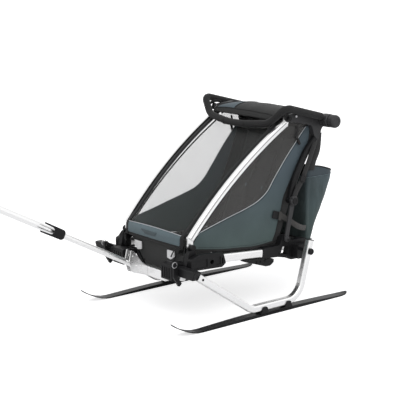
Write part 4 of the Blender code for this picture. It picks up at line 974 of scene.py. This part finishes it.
class SLED_OT_canopy(SledOperator, bpy.types.Operator):
    """Stretch the crowned roof between the top arms, with its side patch, seams and hems"""
    bl_idname = "sled.canopy"
    bl_label = "Canopy"

    def build(self):
        rows = smooth_line(CANOPY_ROWS, 6)
        half = CANOPY_HALF
        length = length_of([Vector((0, row.x, row.y)) for row in rows])

        def roof(x, along, lift=0.0):
            place = along * (len(rows) - 1)
            i = min(int(place), len(rows) - 2)
            row = rows[i].lerp(rows[i + 1], place - i)
            ahead = (rows[i + 1].xy - rows[i].xy).normalized()
            t = min(abs(x) / half, 1.0)
            slack = 0.0015 * noise.noise(Vector((x * 16, row.x * 14, 5.0))) * (1 - t ** 6)
            rise = row.z * (1 - t ** 3) + 0.0030 + slack + lift
            return at(x, row.x - ahead.y * rise, row.y + ahead.x * rise)

        top = make("canopy_cloth", grid(lambda a, b: roof((a * 2 - 1) * half, b), 44, 42, half * 2, length), "black",
                   "top_frame", thickness=0.0016)
        for side, x_sign in SIDES:
            edge = [roof(x_sign * (half - 0.003), i / 40, 0.0006) for i in range(41)]
            band(f"canopy_side_hem_{side}", edge, 0.010, 0.0022, Vector((0, 0, 1)), body="top_frame")
        (low, high), (inner, outer) = PATCH_ALONG, PATCH_ACROSS
        bm = grid(lambda a, b: roof(-outer + (outer - inner) * a, low + (high - low) * b, 0.0014), 14, 24,
                  outer - inner, length * (high - low))
        make("canopy_patch", bm, "blue", "top_frame", thickness=THIN_CLOTH)
        line = [roof(-inner, low + (high - low) * i / 24, 0.0020) for i in range(25)]
        bead("canopy_patch_seam", line, 0.0011, body="top_frame")
        for name, along, width in (("canopy_front_hem", 0.012, 0.010), ("canopy_rear_hem", 0.985, 0.014),
                                   ("canopy_cross_seam", 0.150, 0.004)):
            line = [roof(half * 0.985 * (i / 22 - 1), along, 0.0008) for i in range(45)]
            outs = [(roof(p.x, along, 0.01) - roof(p.x, along)).normalized() for p in line]
            band(name, line, width, 0.0018, outs, body="top_frame")
        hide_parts("canopy")


class SLED_OT_cabin_cloth(SledOperator, bpy.types.Operator):
    """Close the cabin with dark cloth behind the seat, under the bag and round the footwell"""
    bl_idname = "sled.cabin_cloth"
    bl_label = "Cabin Cloth"

    def build(self):
        side = SideCloth()
        behind = Vector((BACKREST_ALONG.y, -BACKREST_ALONG.x)) * 0.0115
        back_line = smooth_line([BACKREST_FOOT + behind, BACKREST_FOOT.lerp(BACKREST_HEAD, 0.5) + behind,
                                 BACKREST_HEAD + behind, *BACK_TOP], 10)
        tail_line = smooth_line(TAIL_LINE, 8)

        def back(across, along):
            spot = back_line[round(along * (len(back_line) - 1))]
            share = across * 2 - 1
            forward = max(abs(share) - BACK_MIDDLE, 0.0) / (1 - BACK_MIDDLE) * BACK_WING
            half = side.x(spot.x - forward, spot.y) - 0.0030
            x = math.copysign(min(abs(share) / BACK_MIDDLE, 1.0), share) * half
            flat = max(1 - abs(share / BACK_MIDDLE) ** 4, 0.0)
            slack = 0.0020 * noise.noise(Vector((x * 10, spot.y * 10, 2.0))) * flat
            return at(x, spot.x + slack - forward, spot.y)

        def tail(across, along):
            spot = tail_line[round(along * (len(tail_line) - 1))]
            sag = 0.0030 * math.sin(math.pi * along) * (1 - (across * 2 - 1) ** 2)
            return at((across * 2 - 1) * TAIL_WIDTH / 2, spot.x, spot.y - sag)

        def low_cloth(x0, x1, y0, y1):
            """A stretch of cloth beside or behind the footwell, over its rim and down under the seat pad."""
            def spot(a, b):
                x, y = x0 + (x1 - x0) * a, y0 + (y1 - y0) * b
                sag = 0.0020 * noise.noise(Vector((x * 18, y * 18, 6.0)))
                rise = 0.0030 * max((abs(x) - 0.15) / 0.07, 0.0) - 0.0060 * max((y + 0.165) / 0.04, 0.0)
                return at(x, y, FOOT_CLOTH_Z + rise + sag)
            return grid(spot, 16, 16, abs(x1 - x0), y1 - y0)

        width, length = BACK_WIDTH + 2 * BACK_WING, length_of(back_line)
        cloth = make("cabin_back", grid(back, 40, len(back_line) - 1, width, length), "black", thickness=THIN_CLOTH)
        fold_with_frame(cloth)

        length = length_of(tail_line)
        base = make("cabin_tail", grid(tail, 24, len(tail_line) - 1, TAIL_WIDTH, length), "black", thickness=THIN_CLOTH)

        stretches = joined([low_cloth(*stretch) for stretch in FOOT_CLOTH])
        foot = make("foot_cloth", stretches, "black", thickness=THIN_CLOTH)


def swollen(obj, cap, voxel=0.005, pressure=4.0):
    """Fill a pad by cloth pressure, with no point moved further than cap."""
    scene = bpy.context.scene
    remesh = obj.modifiers.new("even", "REMESH")
    remesh.mode = "VOXEL"
    remesh.voxel_size = voxel
    bake(obj)
    start = [v.co.copy() for v in obj.data.vertices]
    cloth = obj.modifiers.new("fill", "CLOTH")
    cloth.settings.use_pressure = True
    cloth.settings.uniform_pressure_force = pressure
    cloth.settings.effector_weights.gravity = 0
    for number in range(1, 21):
        scene.frame_set(number)
    bake(obj)
    for v, before in zip(obj.data.vertices, start):
        move = v.co - before
        if move.length > cap:
            v.co = before + move.normalized() * cap
    scene.frame_set(1)


def waist(share):
    """What is left of a pad's width at a share of its length, as its sides are drawn in between the corners."""
    return 1 - PAD_WAIST * (1 - (share * 2 - 1) ** 2)


def pad_block(half, start, end, thickness, columns=22, rows=26):
    """Closed pad between two (y, z) points, thin at its rim, with its sides drawn in between the corners."""
    along = (end - start).normalized()
    out = Vector((-along.y, along.x))
    bm = bmesh.new()

    def layer(face):
        points = []
        for r in range(rows + 1):
            v = r / rows
            spot = start.lerp(end, v)
            points.append([])
            for c in range(columns + 1):
                u = c / columns * 2 - 1
                crown = (1 - abs(u) ** 4) * (1 - abs(v * 2 - 1) ** 4)
                deep = thickness / 2 * (0.25 + 0.75 * crown ** 0.5) * face
                place = at(u * half * waist(v), spot.x + out.x * deep, spot.y + out.y * deep)
                points[-1].append(bm.verts.new(place))
        return points

    a, b = layer(1), layer(-1)
    for points, turn in ((a, 1), (b, -1)):
        for r in range(rows):
            for c in range(columns):
                quad = (points[r][c], points[r][c + 1], points[r + 1][c + 1], points[r + 1][c])
                bm.faces.new(quad[::turn])
    rim = [(0, c) for c in range(columns)] + [(r, columns) for r in range(rows)]
    rim += [(rows, c) for c in range(columns, 0, -1)] + [(r, 0) for r in range(rows, 0, -1)]
    for (r, c), (q, d) in zip(rim, rim[1:] + rim[:1]):
        bm.faces.new((b[r][c], b[q][d], a[q][d], a[r][c]))
    bmesh.ops.recalc_face_normals(bm, faces=bm.faces)
    return bm


def channelled(obj, lines, start, along, out, depth, width):
    """Press sewn channels into a pad's front: each line is (across or along, value)."""
    for v in obj.data.vertices:
        spot = Vector((v.co.x, v.co.y - MIDDLE_Y, v.co.z))
        run = (spot.yz - start).dot(along)
        front = (spot.yz - start).dot(out)
        if front <= 0:
            continue
        near = min(abs((spot.x if kind == "x" else run) - value) for kind, value in lines)
        sink = depth * math.exp(-(near / width) ** 2)
        v.co -= Vector((0, out.x, out.y)) * min(sink, front)


class SLED_OT_seat(SledOperator, bpy.types.Operator):
    """Make the padded backrest and seat with their sewn channels and edge piping"""
    bl_idname = "sled.seat"
    bl_label = "Seat"

    def build(self):
        margin = BACKREST_ALONG * 0.010
        specs = (("backrest_pad", "backrest", BACKREST_FOOT + margin, BACKREST_HEAD - margin, 0.186, 0.013,
                  [("x", -0.085), ("x", 0.085), ("run", 0.15), ("run", 0.30)]),
                 ("seat_pad", "seat_cushion", Vector((-0.1200, 0.2985)), Vector((0.1450, 0.2905)), 0.178, 0.016,
                  [("x", -0.075), ("x", 0.075), ("run", 0.13)]))
        corners = [(-1, 0), (-1, 1), (1, 1), (1, 0)]
        for name, node, start, end, half, thickness, lines in specs:
            along = (end - start).normalized()
            out = Vector((-along.y, along.x))
            pad = make(name, pad_block(half, start, end, thickness), "seat", angle=180)
            swollen(pad, 0.005)
            channelled(pad, lines, start, along, out, 0.0035, 0.0045)
            pad.modifiers.new("finer", "SUBSURF").levels = 1
            bake(pad)
            for place in pad.material_slots:
                place.material = mat_of("seat")
            path = []
            for a, b in zip(corners, corners[1:] + corners[:1]):
                for i in range(12):
                    u, v = (p + (q - p) * (i / 12) for p, q in zip(a, b))
                    spot = start.lerp(end, v)
                    path.append(at(u * half * waist(v) * 1.004, spot.x, spot.y))
            piping = bead(f"{name}_piping", path, 0.0022, closed=True)
            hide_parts(node)
            if node == "backrest":
                for soft in (pad, piping):
                    fold_with_frame(soft)


class SLED_OT_harness(SledOperator, bpy.types.Operator):
    """Lay the shoulder straps, their pads, the crotch strap and the buckle on the seat"""
    bl_idname = "sled.harness"
    bl_label = "Harness"

    def build(self):
        out = Vector((0, -BACKREST_ALONG.y, BACKREST_ALONG.x))

        def on_back(x, run, lift):
            spot = BACKREST_FOOT + BACKREST_ALONG * run
            return at(x, spot.x, spot.y) + out * lift

        pieces = []
        for side, x_sign in SIDES:
            line = smooth_line([on_back(x_sign * x, run, lift) for x, run, lift in (
                (0.052, 0.415, 0.0125), (0.055, 0.330, 0.0200), (0.056, 0.240, 0.0240), (0.038, 0.150, 0.0320),
                (0.016, 0.085, 0.0480))], 7)
            pieces.append(band(f"shoulder_strap_{side}", line, 0.022, 0.0014, out, "webbing"))
            line = smooth_line([on_back(x_sign * x, run, lift) for x, run, lift in (
                (0.053, 0.400, 0.0150), (0.0555, 0.320, 0.0220), (0.0560, 0.245, 0.0256))], 6)
            fat = [0.55 + 0.45 * math.sin(math.pi * (0.12 + 0.76 * i / (len(line) - 1))) for i in range(len(line))]
            pieces.append(make(f"shoulder_pad_{side}", swept(line, box_section(0.046, 0.010), out, fat), "seat"))
            line = [on_back(x_sign * 0.0555, 0.232 - 0.002 * i, 0.0262) for i in range(8)]
            pieces.append(band(f"strap_tab_{side}", line, 0.008, 0.0012, out, "strip"))
        line = smooth_line([at(0, 0.0300, 0.3090), at(0, 0.0500, 0.3260), at(0, 0.0900, 0.3520),
                            on_back(0, 0.090, 0.0520)], 6)
        pieces.append(band("crotch_strap", line, 0.024, 0.0014, Vector((0, -0.7, 0.7)), "webbing"))
        disc = [(0.0, 0.019), (0.006, 0.021), (0.010, 0.019), (0.0115, 0.011), (0.0130, 0.0105), (0.0135, 0.0085)]
        pieces.append(make("harness_buckle", turned(disc, on_back(0, 0.092, 0.0540), out), "buckle", "chassis"))
        for obj in pieces:
            fold_with_frame(obj)


class Bag:
    """The luggage bag's skin: a rounded oblong at each height, sloped at the rim and slack between its seams."""

    def __init__(self):
        self.rear = [(z, y) for y, z in smooth_line(BAG_REAR_LINE, 4)]
        self.rim = [tuple(p) for p in smooth_line(BAG_RIM, 4)]

    def outline(self, rear, count):
        """Rounded oblong from the front's middle round the left side, at a depth of the rear wall."""
        deep = rear - BAG_FRONT
        back = min(0.050, deep * 0.42)
        corners = [(BAG_HALF, 0.0, 0.012, -90), (BAG_HALF, deep, back, 0), (-BAG_HALF, deep, back, 90),
                   (-BAG_HALF, 0.0, 0.012, 180)]
        line = [(0.0, 0.0)]
        for x, y, radius, turn in corners:
            cx = x - math.copysign(radius, x)
            cy = y + radius if y < deep / 2 else y - radius
            for k in range(7):
                angle = math.radians(turn + 15 * k)
                line.append((cx + radius * math.cos(angle), cy + radius * math.sin(angle)))
        line.append((0.0, 0.0))
        spans = [math.dist(a, b) for a, b in zip(line, line[1:])]
        step = sum(spans) / count
        points, walked, i = [], 0.0, 0
        for k in range(count):
            while walked + spans[i] < step * k:
                walked += spans[i]
                i += 1
            t = (step * k - walked) / max(spans[i], 1e-9)
            points.append(tuple(p + (q - p) * t for p, q in zip(line[i], line[i + 1])))
        return points

    def place(self, around, up, grow=0.0):
        """A point of the skin: around from 0 to 1, up from the floor to the rim."""
        count = 96
        guess = BAG_FLOOR + (BAG_HEAD - BAG_FLOOR) * up
        rear = height_on(self.rear, min(guess, self.rear[-1][0]))
        points = self.outline(rear, count)
        spot = around * count
        i = int(spot) % count
        a, b = points[i], points[(i + 1) % count]
        x, deep = (p + (q - p) * (spot - int(spot)) for p, q in zip(a, b))
        y = BAG_FRONT + deep
        z = BAG_FLOOR + (height_on(self.rim, y) - BAG_FLOOR) * up
        side = min(abs(x) / BAG_HALF, 1.0)
        belly = math.sin(math.pi * min(up / 0.88, 1.0))
        free = max(min(deep / 0.05, 1.0), 0.0)
        slack = 0.0065 * belly * noise.noise(Vector((x * 9, y * 13, z * 8)))
        slack += 0.0038 * belly * noise.noise(Vector((x * 22, y * 24, z * 12 + 4)))
        fold = -0.0100 * math.exp(-((y - 0.408) / 0.011) ** 2) * belly * (side > 0.98)
        push = (0.0035 * belly + slack) * free + fold + grow
        if side > 0.995:
            away = Vector((math.copysign(1.0, x), 0.0))
        else:
            away = Vector((x if side > 0.9 else 0.0, y - (BAG_FRONT + rear) / 2)).normalized()
        return at(x + away.x * push, max(y + away.y * push, BAG_FRONT), z)

    def seam_up(self, around):
        """The rim seam's height as a share of the wall."""
        rim_z = height_on(self.rim, self.place(around, 0.9).y - MIDDLE_Y)
        return min((BAG_SEAM_Z - BAG_FLOOR) / (rim_z - BAG_FLOOR), 0.975)


class SLED_OT_rear_bag(SledOperator, bpy.types.Operator):
    """Sew the open luggage bag behind the seat, with its rim, seams, floor and lid strap"""
    bl_idname = "sled.rear_bag"
    bl_label = "Rear Bag"

    def build(self):
        bag = Bag()
        turns = [i / BAG_STEPS for i in range(BAG_STEPS)]

        def rim_place(across, along):
            low = bag.seam_up(across)
            return bag.place(across, low + (BAG_HEM_UP - low) * along, 0.0012)

        bm = grid(bag.place, BAG_STEPS, 40, 1.05, 0.36, closed=True)
        bm.faces.new([v for v in bm.verts if abs(v.co.z - BAG_FLOOR) < 1e-6][::-1])
        bmesh.ops.recalc_face_normals(bm, faces=bm.faces)
        shell = make("bag_shell", bm, "bag", "chassis", 180, sizes().cloth)
        pieces = [
            shell,
            bead("bag_rim_hem", [bag.place(t, BAG_HEM_UP, 0.0006) for t in turns], 0.0032, closed=True),
            bead("bag_rim_seam", [bag.place(t, bag.seam_up(t), 0.0012) for t in turns], 0.0013, "strip", "chassis",
                 closed=True),
            make("bag_rim_band", grid(rim_place, BAG_STEPS, 5, 1.05, 0.05, closed=True), "rim", "chassis",
                 180, THIN_CLOTH),
            bead("bag_floor_seam", [bag.place(t, 0.004, 0.0010) for t in turns], 0.0022, closed=True),
        ]
        for side, share in (("left", 0.345), ("right", 0.655)):
            line = [bag.place(share, 0.02 + 0.90 * i / 30, 0.0010) for i in range(31)]
            pieces.append(bead(f"bag_corner_seam_{side}", line, 0.0013))
        line = [bag.place(0.5, 0.10 + 0.86 * i / 24, 0.0008) for i in range(25)]
        pieces.append(band("bag_lid_strap", line, 0.020, 0.0016, Vector((0, 1, 0)), "webbing"))
        pieces.append(plate("bag_lid_buckle", bag.place(0.5, 0.72, 0.0030), (0.028, 0.040, 0.006), 0.006,
                            (0, 0.3, 1), (0, 1, -0.3)))
        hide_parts("rear_bag")
        for obj in pieces:
            fold_with_frame(obj)


# Straps on each side: finish, body, width, thickness, steps, the height to which they sink, and their (x, y, z) line
STRAPS = {
    "frame_strap": ("webbing", "top_frame", 0.030, 0.0016, 6, None, [
        (0.2420, 0.4010, 0.7590), (0.2500, 0.3850, 0.7270), (0.2545, 0.3640, 0.6930), (0.2560, 0.3380, 0.6385),
        (0.2560, 0.3010, 0.5655), (0.2575, 0.2640, 0.5165), (0.2600, 0.2500, 0.4930)]),
    "bag_hanger": ("webbing", "chassis", 0.038, 0.0016, 6, BAG_FLOOR, [
        (0.2400, 0.4190, 0.7700), (0.2350, 0.4160, 0.6880), (0.2160, 0.4100, 0.6300), (0.2090, 0.4080, 0.5900)]),
    "bag_strap": ("grey_webbing", "chassis", 0.026, 0.0016, 6, BAG_FLOOR, [
        (0.2285, 0.1860, 0.4120), (0.2330, 0.2300, 0.3860), (0.2360, 0.2900, 0.3480), (0.2200, 0.3400, 0.3270),
        (0.2010, 0.3830, 0.3160)]),
    "window_tie": ("webbing", "chassis", 0.012, 0.0014, 5, CLOTH_FOLD, [
        (0.2268, 0.2900, 0.8120), (0.2275, 0.2960, 0.7900), (0.2272, 0.2890, 0.7640), (0.2268, 0.2990, 0.7480)]),
}
# Plates on each side: finish, body, slot, (x, y, z), box, thickness, up, and the height to which they sink
PLATES = {
    "frame_buckle": ("buckle", "top_frame", "black_plastic", (0.2578, 0.3050, 0.5720), (0.030, 0.034, 0.004), 0.005,
                     (0, 0.49, 0.87), None),
    "roof_corner_tab": ("black", "chassis", "black_fabric", (0.2262, 0.3905, 0.7420), (0.046, 0.062, 0.010), 0.0030,
                        (0, 0.15, 1), CLOTH_FOLD),
    "bag_strap_anchor": ("plastic", "chassis", "black_plastic", (0.2262, 0.1650, 0.4140), (0.038, 0.036, 0.004),
                         0.003, (0, 0.30, 0.95), BAG_FLOOR),
    "bag_strap_buckle": ("grey_webbing", "chassis", "black_plastic", (0.2295, 0.1890, 0.4060),
                         (0.016, 0.040, 0.004), 0.005, (0, 0.15, 0.99), BAG_FLOOR),
    "window_toggle": ("buckle", "chassis", "black_plastic", (0.2268, 0.3010, 0.7380), (0.012, 0.030, 0.004), 0.006,
                      (0, -0.5, 1), CLOTH_FOLD),
}


class SLED_OT_straps(SledOperator, bpy.types.Operator):
    """Add the bag's compression straps, the frame straps and their buckles on both sides"""
    bl_idname = "sled.straps"
    bl_label = "Straps"

    def build(self):
        for side, x_sign in SIDES:
            out = Vector((x_sign, 0, 0))
            for name, (finish, body, width, thickness, steps, sinks, line) in STRAPS.items():
                points = [at(x_sign * x, y, z) for x, y, z in smooth_line(line, steps)]
                strap = band(f"{name}_{side}", points, width, thickness, out, finish, body)
                if sinks:
                    fold_with_frame(strap)
            for name, (finish, body, slot_name, (x, y, z), box, thickness, up, sinks) in PLATES.items():
                made = plate(f"{name}_{side}", at(x_sign * x, y, z), box, thickness, up, out, finish, body)
                if sinks:
                    fold_with_frame(made)


# The zips' cord pulls on each side, as (x, y, z) lines
PULLS = {
    "left": [[(0.1860, -0.3690, 0.3400), (0.1690, -0.3740, 0.3300), (0.1530, -0.3755, 0.3120),
              (0.1380, -0.3740, 0.2900)]],
    "right": [[(0.1900, -0.3690, 0.3560), (0.2040, -0.3745, 0.3500), (0.2240, -0.3760, 0.3350),
               (0.2440, -0.3740, 0.3160)],
              [(0.1900, -0.3690, 0.3400), (0.2020, -0.3760, 0.3320), (0.2000, -0.3770, 0.3160),
               (0.1900, -0.3750, 0.3020)]],
}


class SLED_OT_zip_pulls(SledOperator, bpy.types.Operator):
    """Hang the cord pulls of the cover's zips beside the reflectors"""
    bl_idname = "sled.zip_pulls"
    bl_label = "Zip Pulls"

    def build(self):
        for side, x_sign in SIDES:
            plate(f"zip_slider_{side}", at(x_sign * 0.1900, -0.3640, 0.3400), (0.009, 0.014, 0.003), 0.005,
                  (0, 0.1, 1), (0, -1, 0.1), body="front_frame")
            parts = []
            for cord in PULLS[side]:
                line = smooth_line([at(x_sign * x, y, z) for x, y, z in cord], 6)
                taper = [0.8 + 0.5 * i / (len(line) - 1) for i in range(len(line))]
                parts.append(swept(line, round_section(0.0024), scales=taper))
            make(f"zip_pull_{side}", joined(parts), "webbing", "front_frame")


# Turned fittings as (along, radius) profiles
BOLT = [(0.0, 0.0052), (0.0016, 0.0052), (0.0024, 0.0042), (0.0024, 0.0024), (0.0014, 0.0022), (0.0013, 0.0004)]
PIVOT_CAP = [(-0.001, 0.0100), (0.0012, 0.0100), (0.0022, 0.0086), (0.0026, 0.0040)]
LINK_DISC = [(-0.001, 0.0160), (0.0020, 0.0160), (0.0034, 0.0140), (0.0036, 0.0075), (0.0024, 0.0070),
             (0.0024, 0.0010)]
LOCK_BUTTON = [(-0.0006, 0.0058), (0.0006, 0.0058), (0.0010, 0.0048)]
TOE_BUTTON = [(-0.0004, 0.0052), (0.0014, 0.0052), (0.0024, 0.0036)]
FOAM_SEAM = [(-0.0020, 0.0163), (-0.0014, 0.0171), (0.0014, 0.0171), (0.0020, 0.0163)]

LATCH = [(0.1700, 0.8640), (0.1830, 0.8780), (0.2070, 0.8850), (0.2380, 0.8820), (0.2570, 0.8700)]
SOCKET_RIBS = [[(-0.3400, 0.2735), (-0.3180, 0.2725), (-0.3180, 0.2810)],
               [(-0.2330, 0.2640), (-0.2060, 0.2625), (-0.2050, 0.2710)]]
RING_PLACE, RING_RADIUS = (-0.4500, 0.2890), 0.0125
FOAM_MIDDLE, FOAM_RUN, FOAM_SHARE = (0.104, 0.812), (0.205, 0.033, 0.023), 0.34    # the seam's place on the foam


class SLED_OT_fittings(SledOperator, bpy.types.Operator):
    """Add bolts, caps, rings and plugs on the frame's joints, arms and connectors"""
    bl_idname = "sled.fittings"
    bl_label = "Fittings"

    def build(self):
        for side, x_sign in SIDES:
            out = Vector((x_sign, 0, 0))
            arm_x, link_x = (max(abs(corner.x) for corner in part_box(f"{name}_{side}"))
                             for name in ("top_arm", "rear_link"))

            def round_piece(name, x, y, z, profile, finish="plastic", body="chassis", slot_name="black_plastic",
                            axis=out, count=24):
                make(f"{name}_{side}", turned(profile, at(x_sign * x, y, z), axis, count), finish, body, 30)

            round_piece("top_pivot_cap", arm_x, *TOP_PIVOT, PIVOT_CAP, body="top_frame")
            round_piece("link_disc", link_x, *BREAK_PIVOT, LINK_DISC, body="rear_links")
            round_piece("arm_bolt", arm_x - 0.0005, 0.2520, 0.8630, BOLT, "steel", "top_frame", "zinc_steel")
            round_piece("arm_lock_button", 0.3580, -0.3750, 0.2321, LOCK_BUTTON)
            round_piece("toe_button", 0.0880, -0.3480, 0.2290, TOE_BUTTON, axis=Vector((0, -1, 0)))
            round_piece("link_bolt", link_x, *LINK_PIVOT, BOLT, "buckle", "rear_links")
            x, y, z = FOAM_RUN
            round_piece("foam_seam", x * FOAM_SHARE, FOAM_MIDDLE[0] + y * FOAM_SHARE, FOAM_MIDDLE[1] + z * FOAM_SHARE,
                        FOAM_SEAM, "hem", "handlebar", "black_foam", Vector((x_sign * x, y, z)), 28)

            hook = smooth_line([at(x_sign * 0.2545, y, z) for y, z in LATCH], 6)
            bulge = [0.65 + 0.45 * math.sin(math.pi * i / (len(hook) - 1)) for i in range(len(hook))]
            make(f"fold_latch_{side}", swept(hook, box_section(0.011, 0.010), out, bulge), "plastic", "top_frame")
            plate(f"fold_latch_plate_{side}", at(x_sign * 0.2510, 0.2010, 0.8620), (0.026, 0.032, 0.010), 0.0030,
                  (0, 0.4, 1), out, "plastic", "top_frame")
            plate(f"arm_end_cap_{side}", at(x_sign * 0.3420, 0.2723, 0.3010), (0.0325, 0.0325, 0.0075), 0.0034,
                  (1, 0, 0), (0, 0.2667, 0.9638), "plastic")
            # A grey insert in the post's groove, its colour painted shade for the shade line along the post's front
            # edge.
            strip = [at(x_sign * (post_x(z) + POST_WIDTH / 2 - 0.0010), y, z) for y, z in post_line(0.0040, 40)]
            band(f"post_insert_shade_{side}", strip, 0.0078, 0.0014, out, "insert", "front_frame")
            ribs = [swept([at(x_sign * 0.2622, y, z) for y, z in rib], round_section(0.0013)) for rib in SOCKET_RIBS]
            make(f"socket_ribs_{side}", joined(ribs), "buckle", "chassis")
            ring = [at(x_sign * 0.2588, RING_PLACE[0] + y, RING_PLACE[1] + z)
                    for y, z in round_section(RING_RADIUS, 28)]
            bead(f"lever_ring_{side}", ring, 0.0013, "steel", f"release_lever_{side}", closed=True)


class SLED_OT_stage(SledOperator, bpy.types.Operator):
    """Set the floor, the soft light and the camera"""
    bl_idname = "sled.stage"
    bl_label = "Stage"

    def build(self):
        scene = bpy.context.scene
        scene.view_settings.view_transform = "Standard"
        bm = bmesh.new()
        bmesh.ops.create_grid(bm, x_segments=6, y_segments=6, size=FLOOR_SPAN)
        mesh = bpy.data.meshes.new("floor")
        bm.to_mesh(mesh)
        bm.free()
        floor = bpy.data.objects.new("floor", mesh)
        scene.collection.objects.link(floor)
        floor.location.z = -0.0004
        f = Finish("Pale floor", 1.0, Base_Color=(0.75, 0.75, 0.76, 1.0), Specular_IOR_Level=0.0)
        path = f.add("LightPath", {})
        mirrored = f.calc("MAXIMUM", path["Is Glossy Ray"], path["Is Transmission Ray"])
        glow = f.calc("MULTIPLY_ADD", path["Is Camera Ray"], 0.64, f.calc("MULTIPLY", mirrored, 0.22))
        both = f.add("AddShader", {0: f.tree.nodes["Principled BSDF"].outputs[0],
                                   1: f.add("Emission", {"Color": (1, 1, 1, 1), "Strength": glow})[0]})[0]
        f.tree.links.new(both, f.tree.nodes["Material Output"].inputs["Surface"])
        mesh.materials.append(f.mat)

        world = scene.world or bpy.data.worlds.new("Studio")
        scene.world = world
        world.use_nodes = True
        world.node_tree.nodes.clear()
        sky = Nodes(world.node_tree)
        path = sky.add("LightPath", {})
        seen = sky.calc("MAXIMUM", path["Is Camera Ray"], path["Is Glossy Ray"])
        strength = sky.spread(sky.calc("MAXIMUM", seen, path["Is Transmission Ray"]), 0.0, 1.0, 0.62, 1.0)
        sky.add("OutputWorld", {0: sky.add("Background", {"Color": (1, 1, 1, 1), "Strength": strength})[0]},
                is_active_output=True)

        for name, toward, power, soft in (("key", (-0.55, 0.55, -1.0), 1.15, 50),
                                          ("fill", (-0.9, -0.3, -0.5), 0.35, 70)):
            lamp = bpy.data.lights.new(name, "SUN")
            lamp.energy = power
            lamp.angle = math.radians(soft)
            obj = bpy.data.objects.new(name, lamp)
            scene.collection.objects.link(obj)
            obj.rotation_euler = Vector(toward).to_track_quat("-Z", "Y").to_euler()

        lens = bpy.data.cameras.new("camera")
        lens.lens = CAMERA_LENS
        lens.sensor_width = 36.0
        lens.clip_end = 400.0
        camera = bpy.data.objects.new("camera", lens)
        scene.collection.objects.link(camera)
        turn, tilt = CAMERA_TURN, CAMERA_TILT
        right = Vector((math.cos(turn), math.sin(turn), 0))
        ahead = Vector((-math.sin(turn) * math.cos(tilt), math.cos(turn) * math.cos(tilt), -math.sin(tilt)))
        pose = Matrix((right, right.cross(ahead), -ahead)).transposed().to_4x4()
        pose.translation = at(*CAMERA_PLACE)
        camera.matrix_world = pose
        scene.camera = camera


OPERATORS = (SLED_OT_rigid_finishes, SLED_OT_front_cover, SLED_OT_front_strip, SLED_OT_side_panels,
             SLED_OT_canopy, SLED_OT_cabin_cloth, SLED_OT_seat, SLED_OT_harness, SLED_OT_rear_bag, SLED_OT_straps,
             SLED_OT_zip_pulls, SLED_OT_fittings, SLED_OT_stage)


class SLED_PT_panel(bpy.types.Panel):
    """Lists the operators in the order in which they run"""
    bl_idname = "SLED_PT_panel"
    bl_label = "Sled Trailer"
    bl_space_type = "VIEW_3D"
    bl_region_type = "UI"
    bl_category = "Sled Trailer"

    def draw(self, context):
        for operator in OPERATORS:
            self.layout.operator(operator.bl_idname)
        for group_name in ("sled_sizes", "sled_colours"):
            values = getattr(context.scene, group_name)
            box = self.layout.box()
            for key in values.__annotations__:
                box.prop(values, key)


CLASSES = (SledColours, SledSizes) + OPERATORS + (SLED_PT_panel,)


def register():
    for cls in CLASSES:
        bpy.utils.register_class(cls)
    bpy.types.Scene.sled_colours = PointerProperty(type=SledColours)
    bpy.types.Scene.sled_sizes = PointerProperty(type=SledSizes)


def unregister():
    del bpy.types.Scene.sled_sizes
    del bpy.types.Scene.sled_colours
    for cls in reversed(CLASSES):
        bpy.utils.unregister_class(cls)


def main():
    register()
    for operator in OPERATORS:
        family, name = operator.bl_idname.split(".")
        getattr(getattr(bpy.ops, family), name)()


if __name__ == "__main__":
    main()
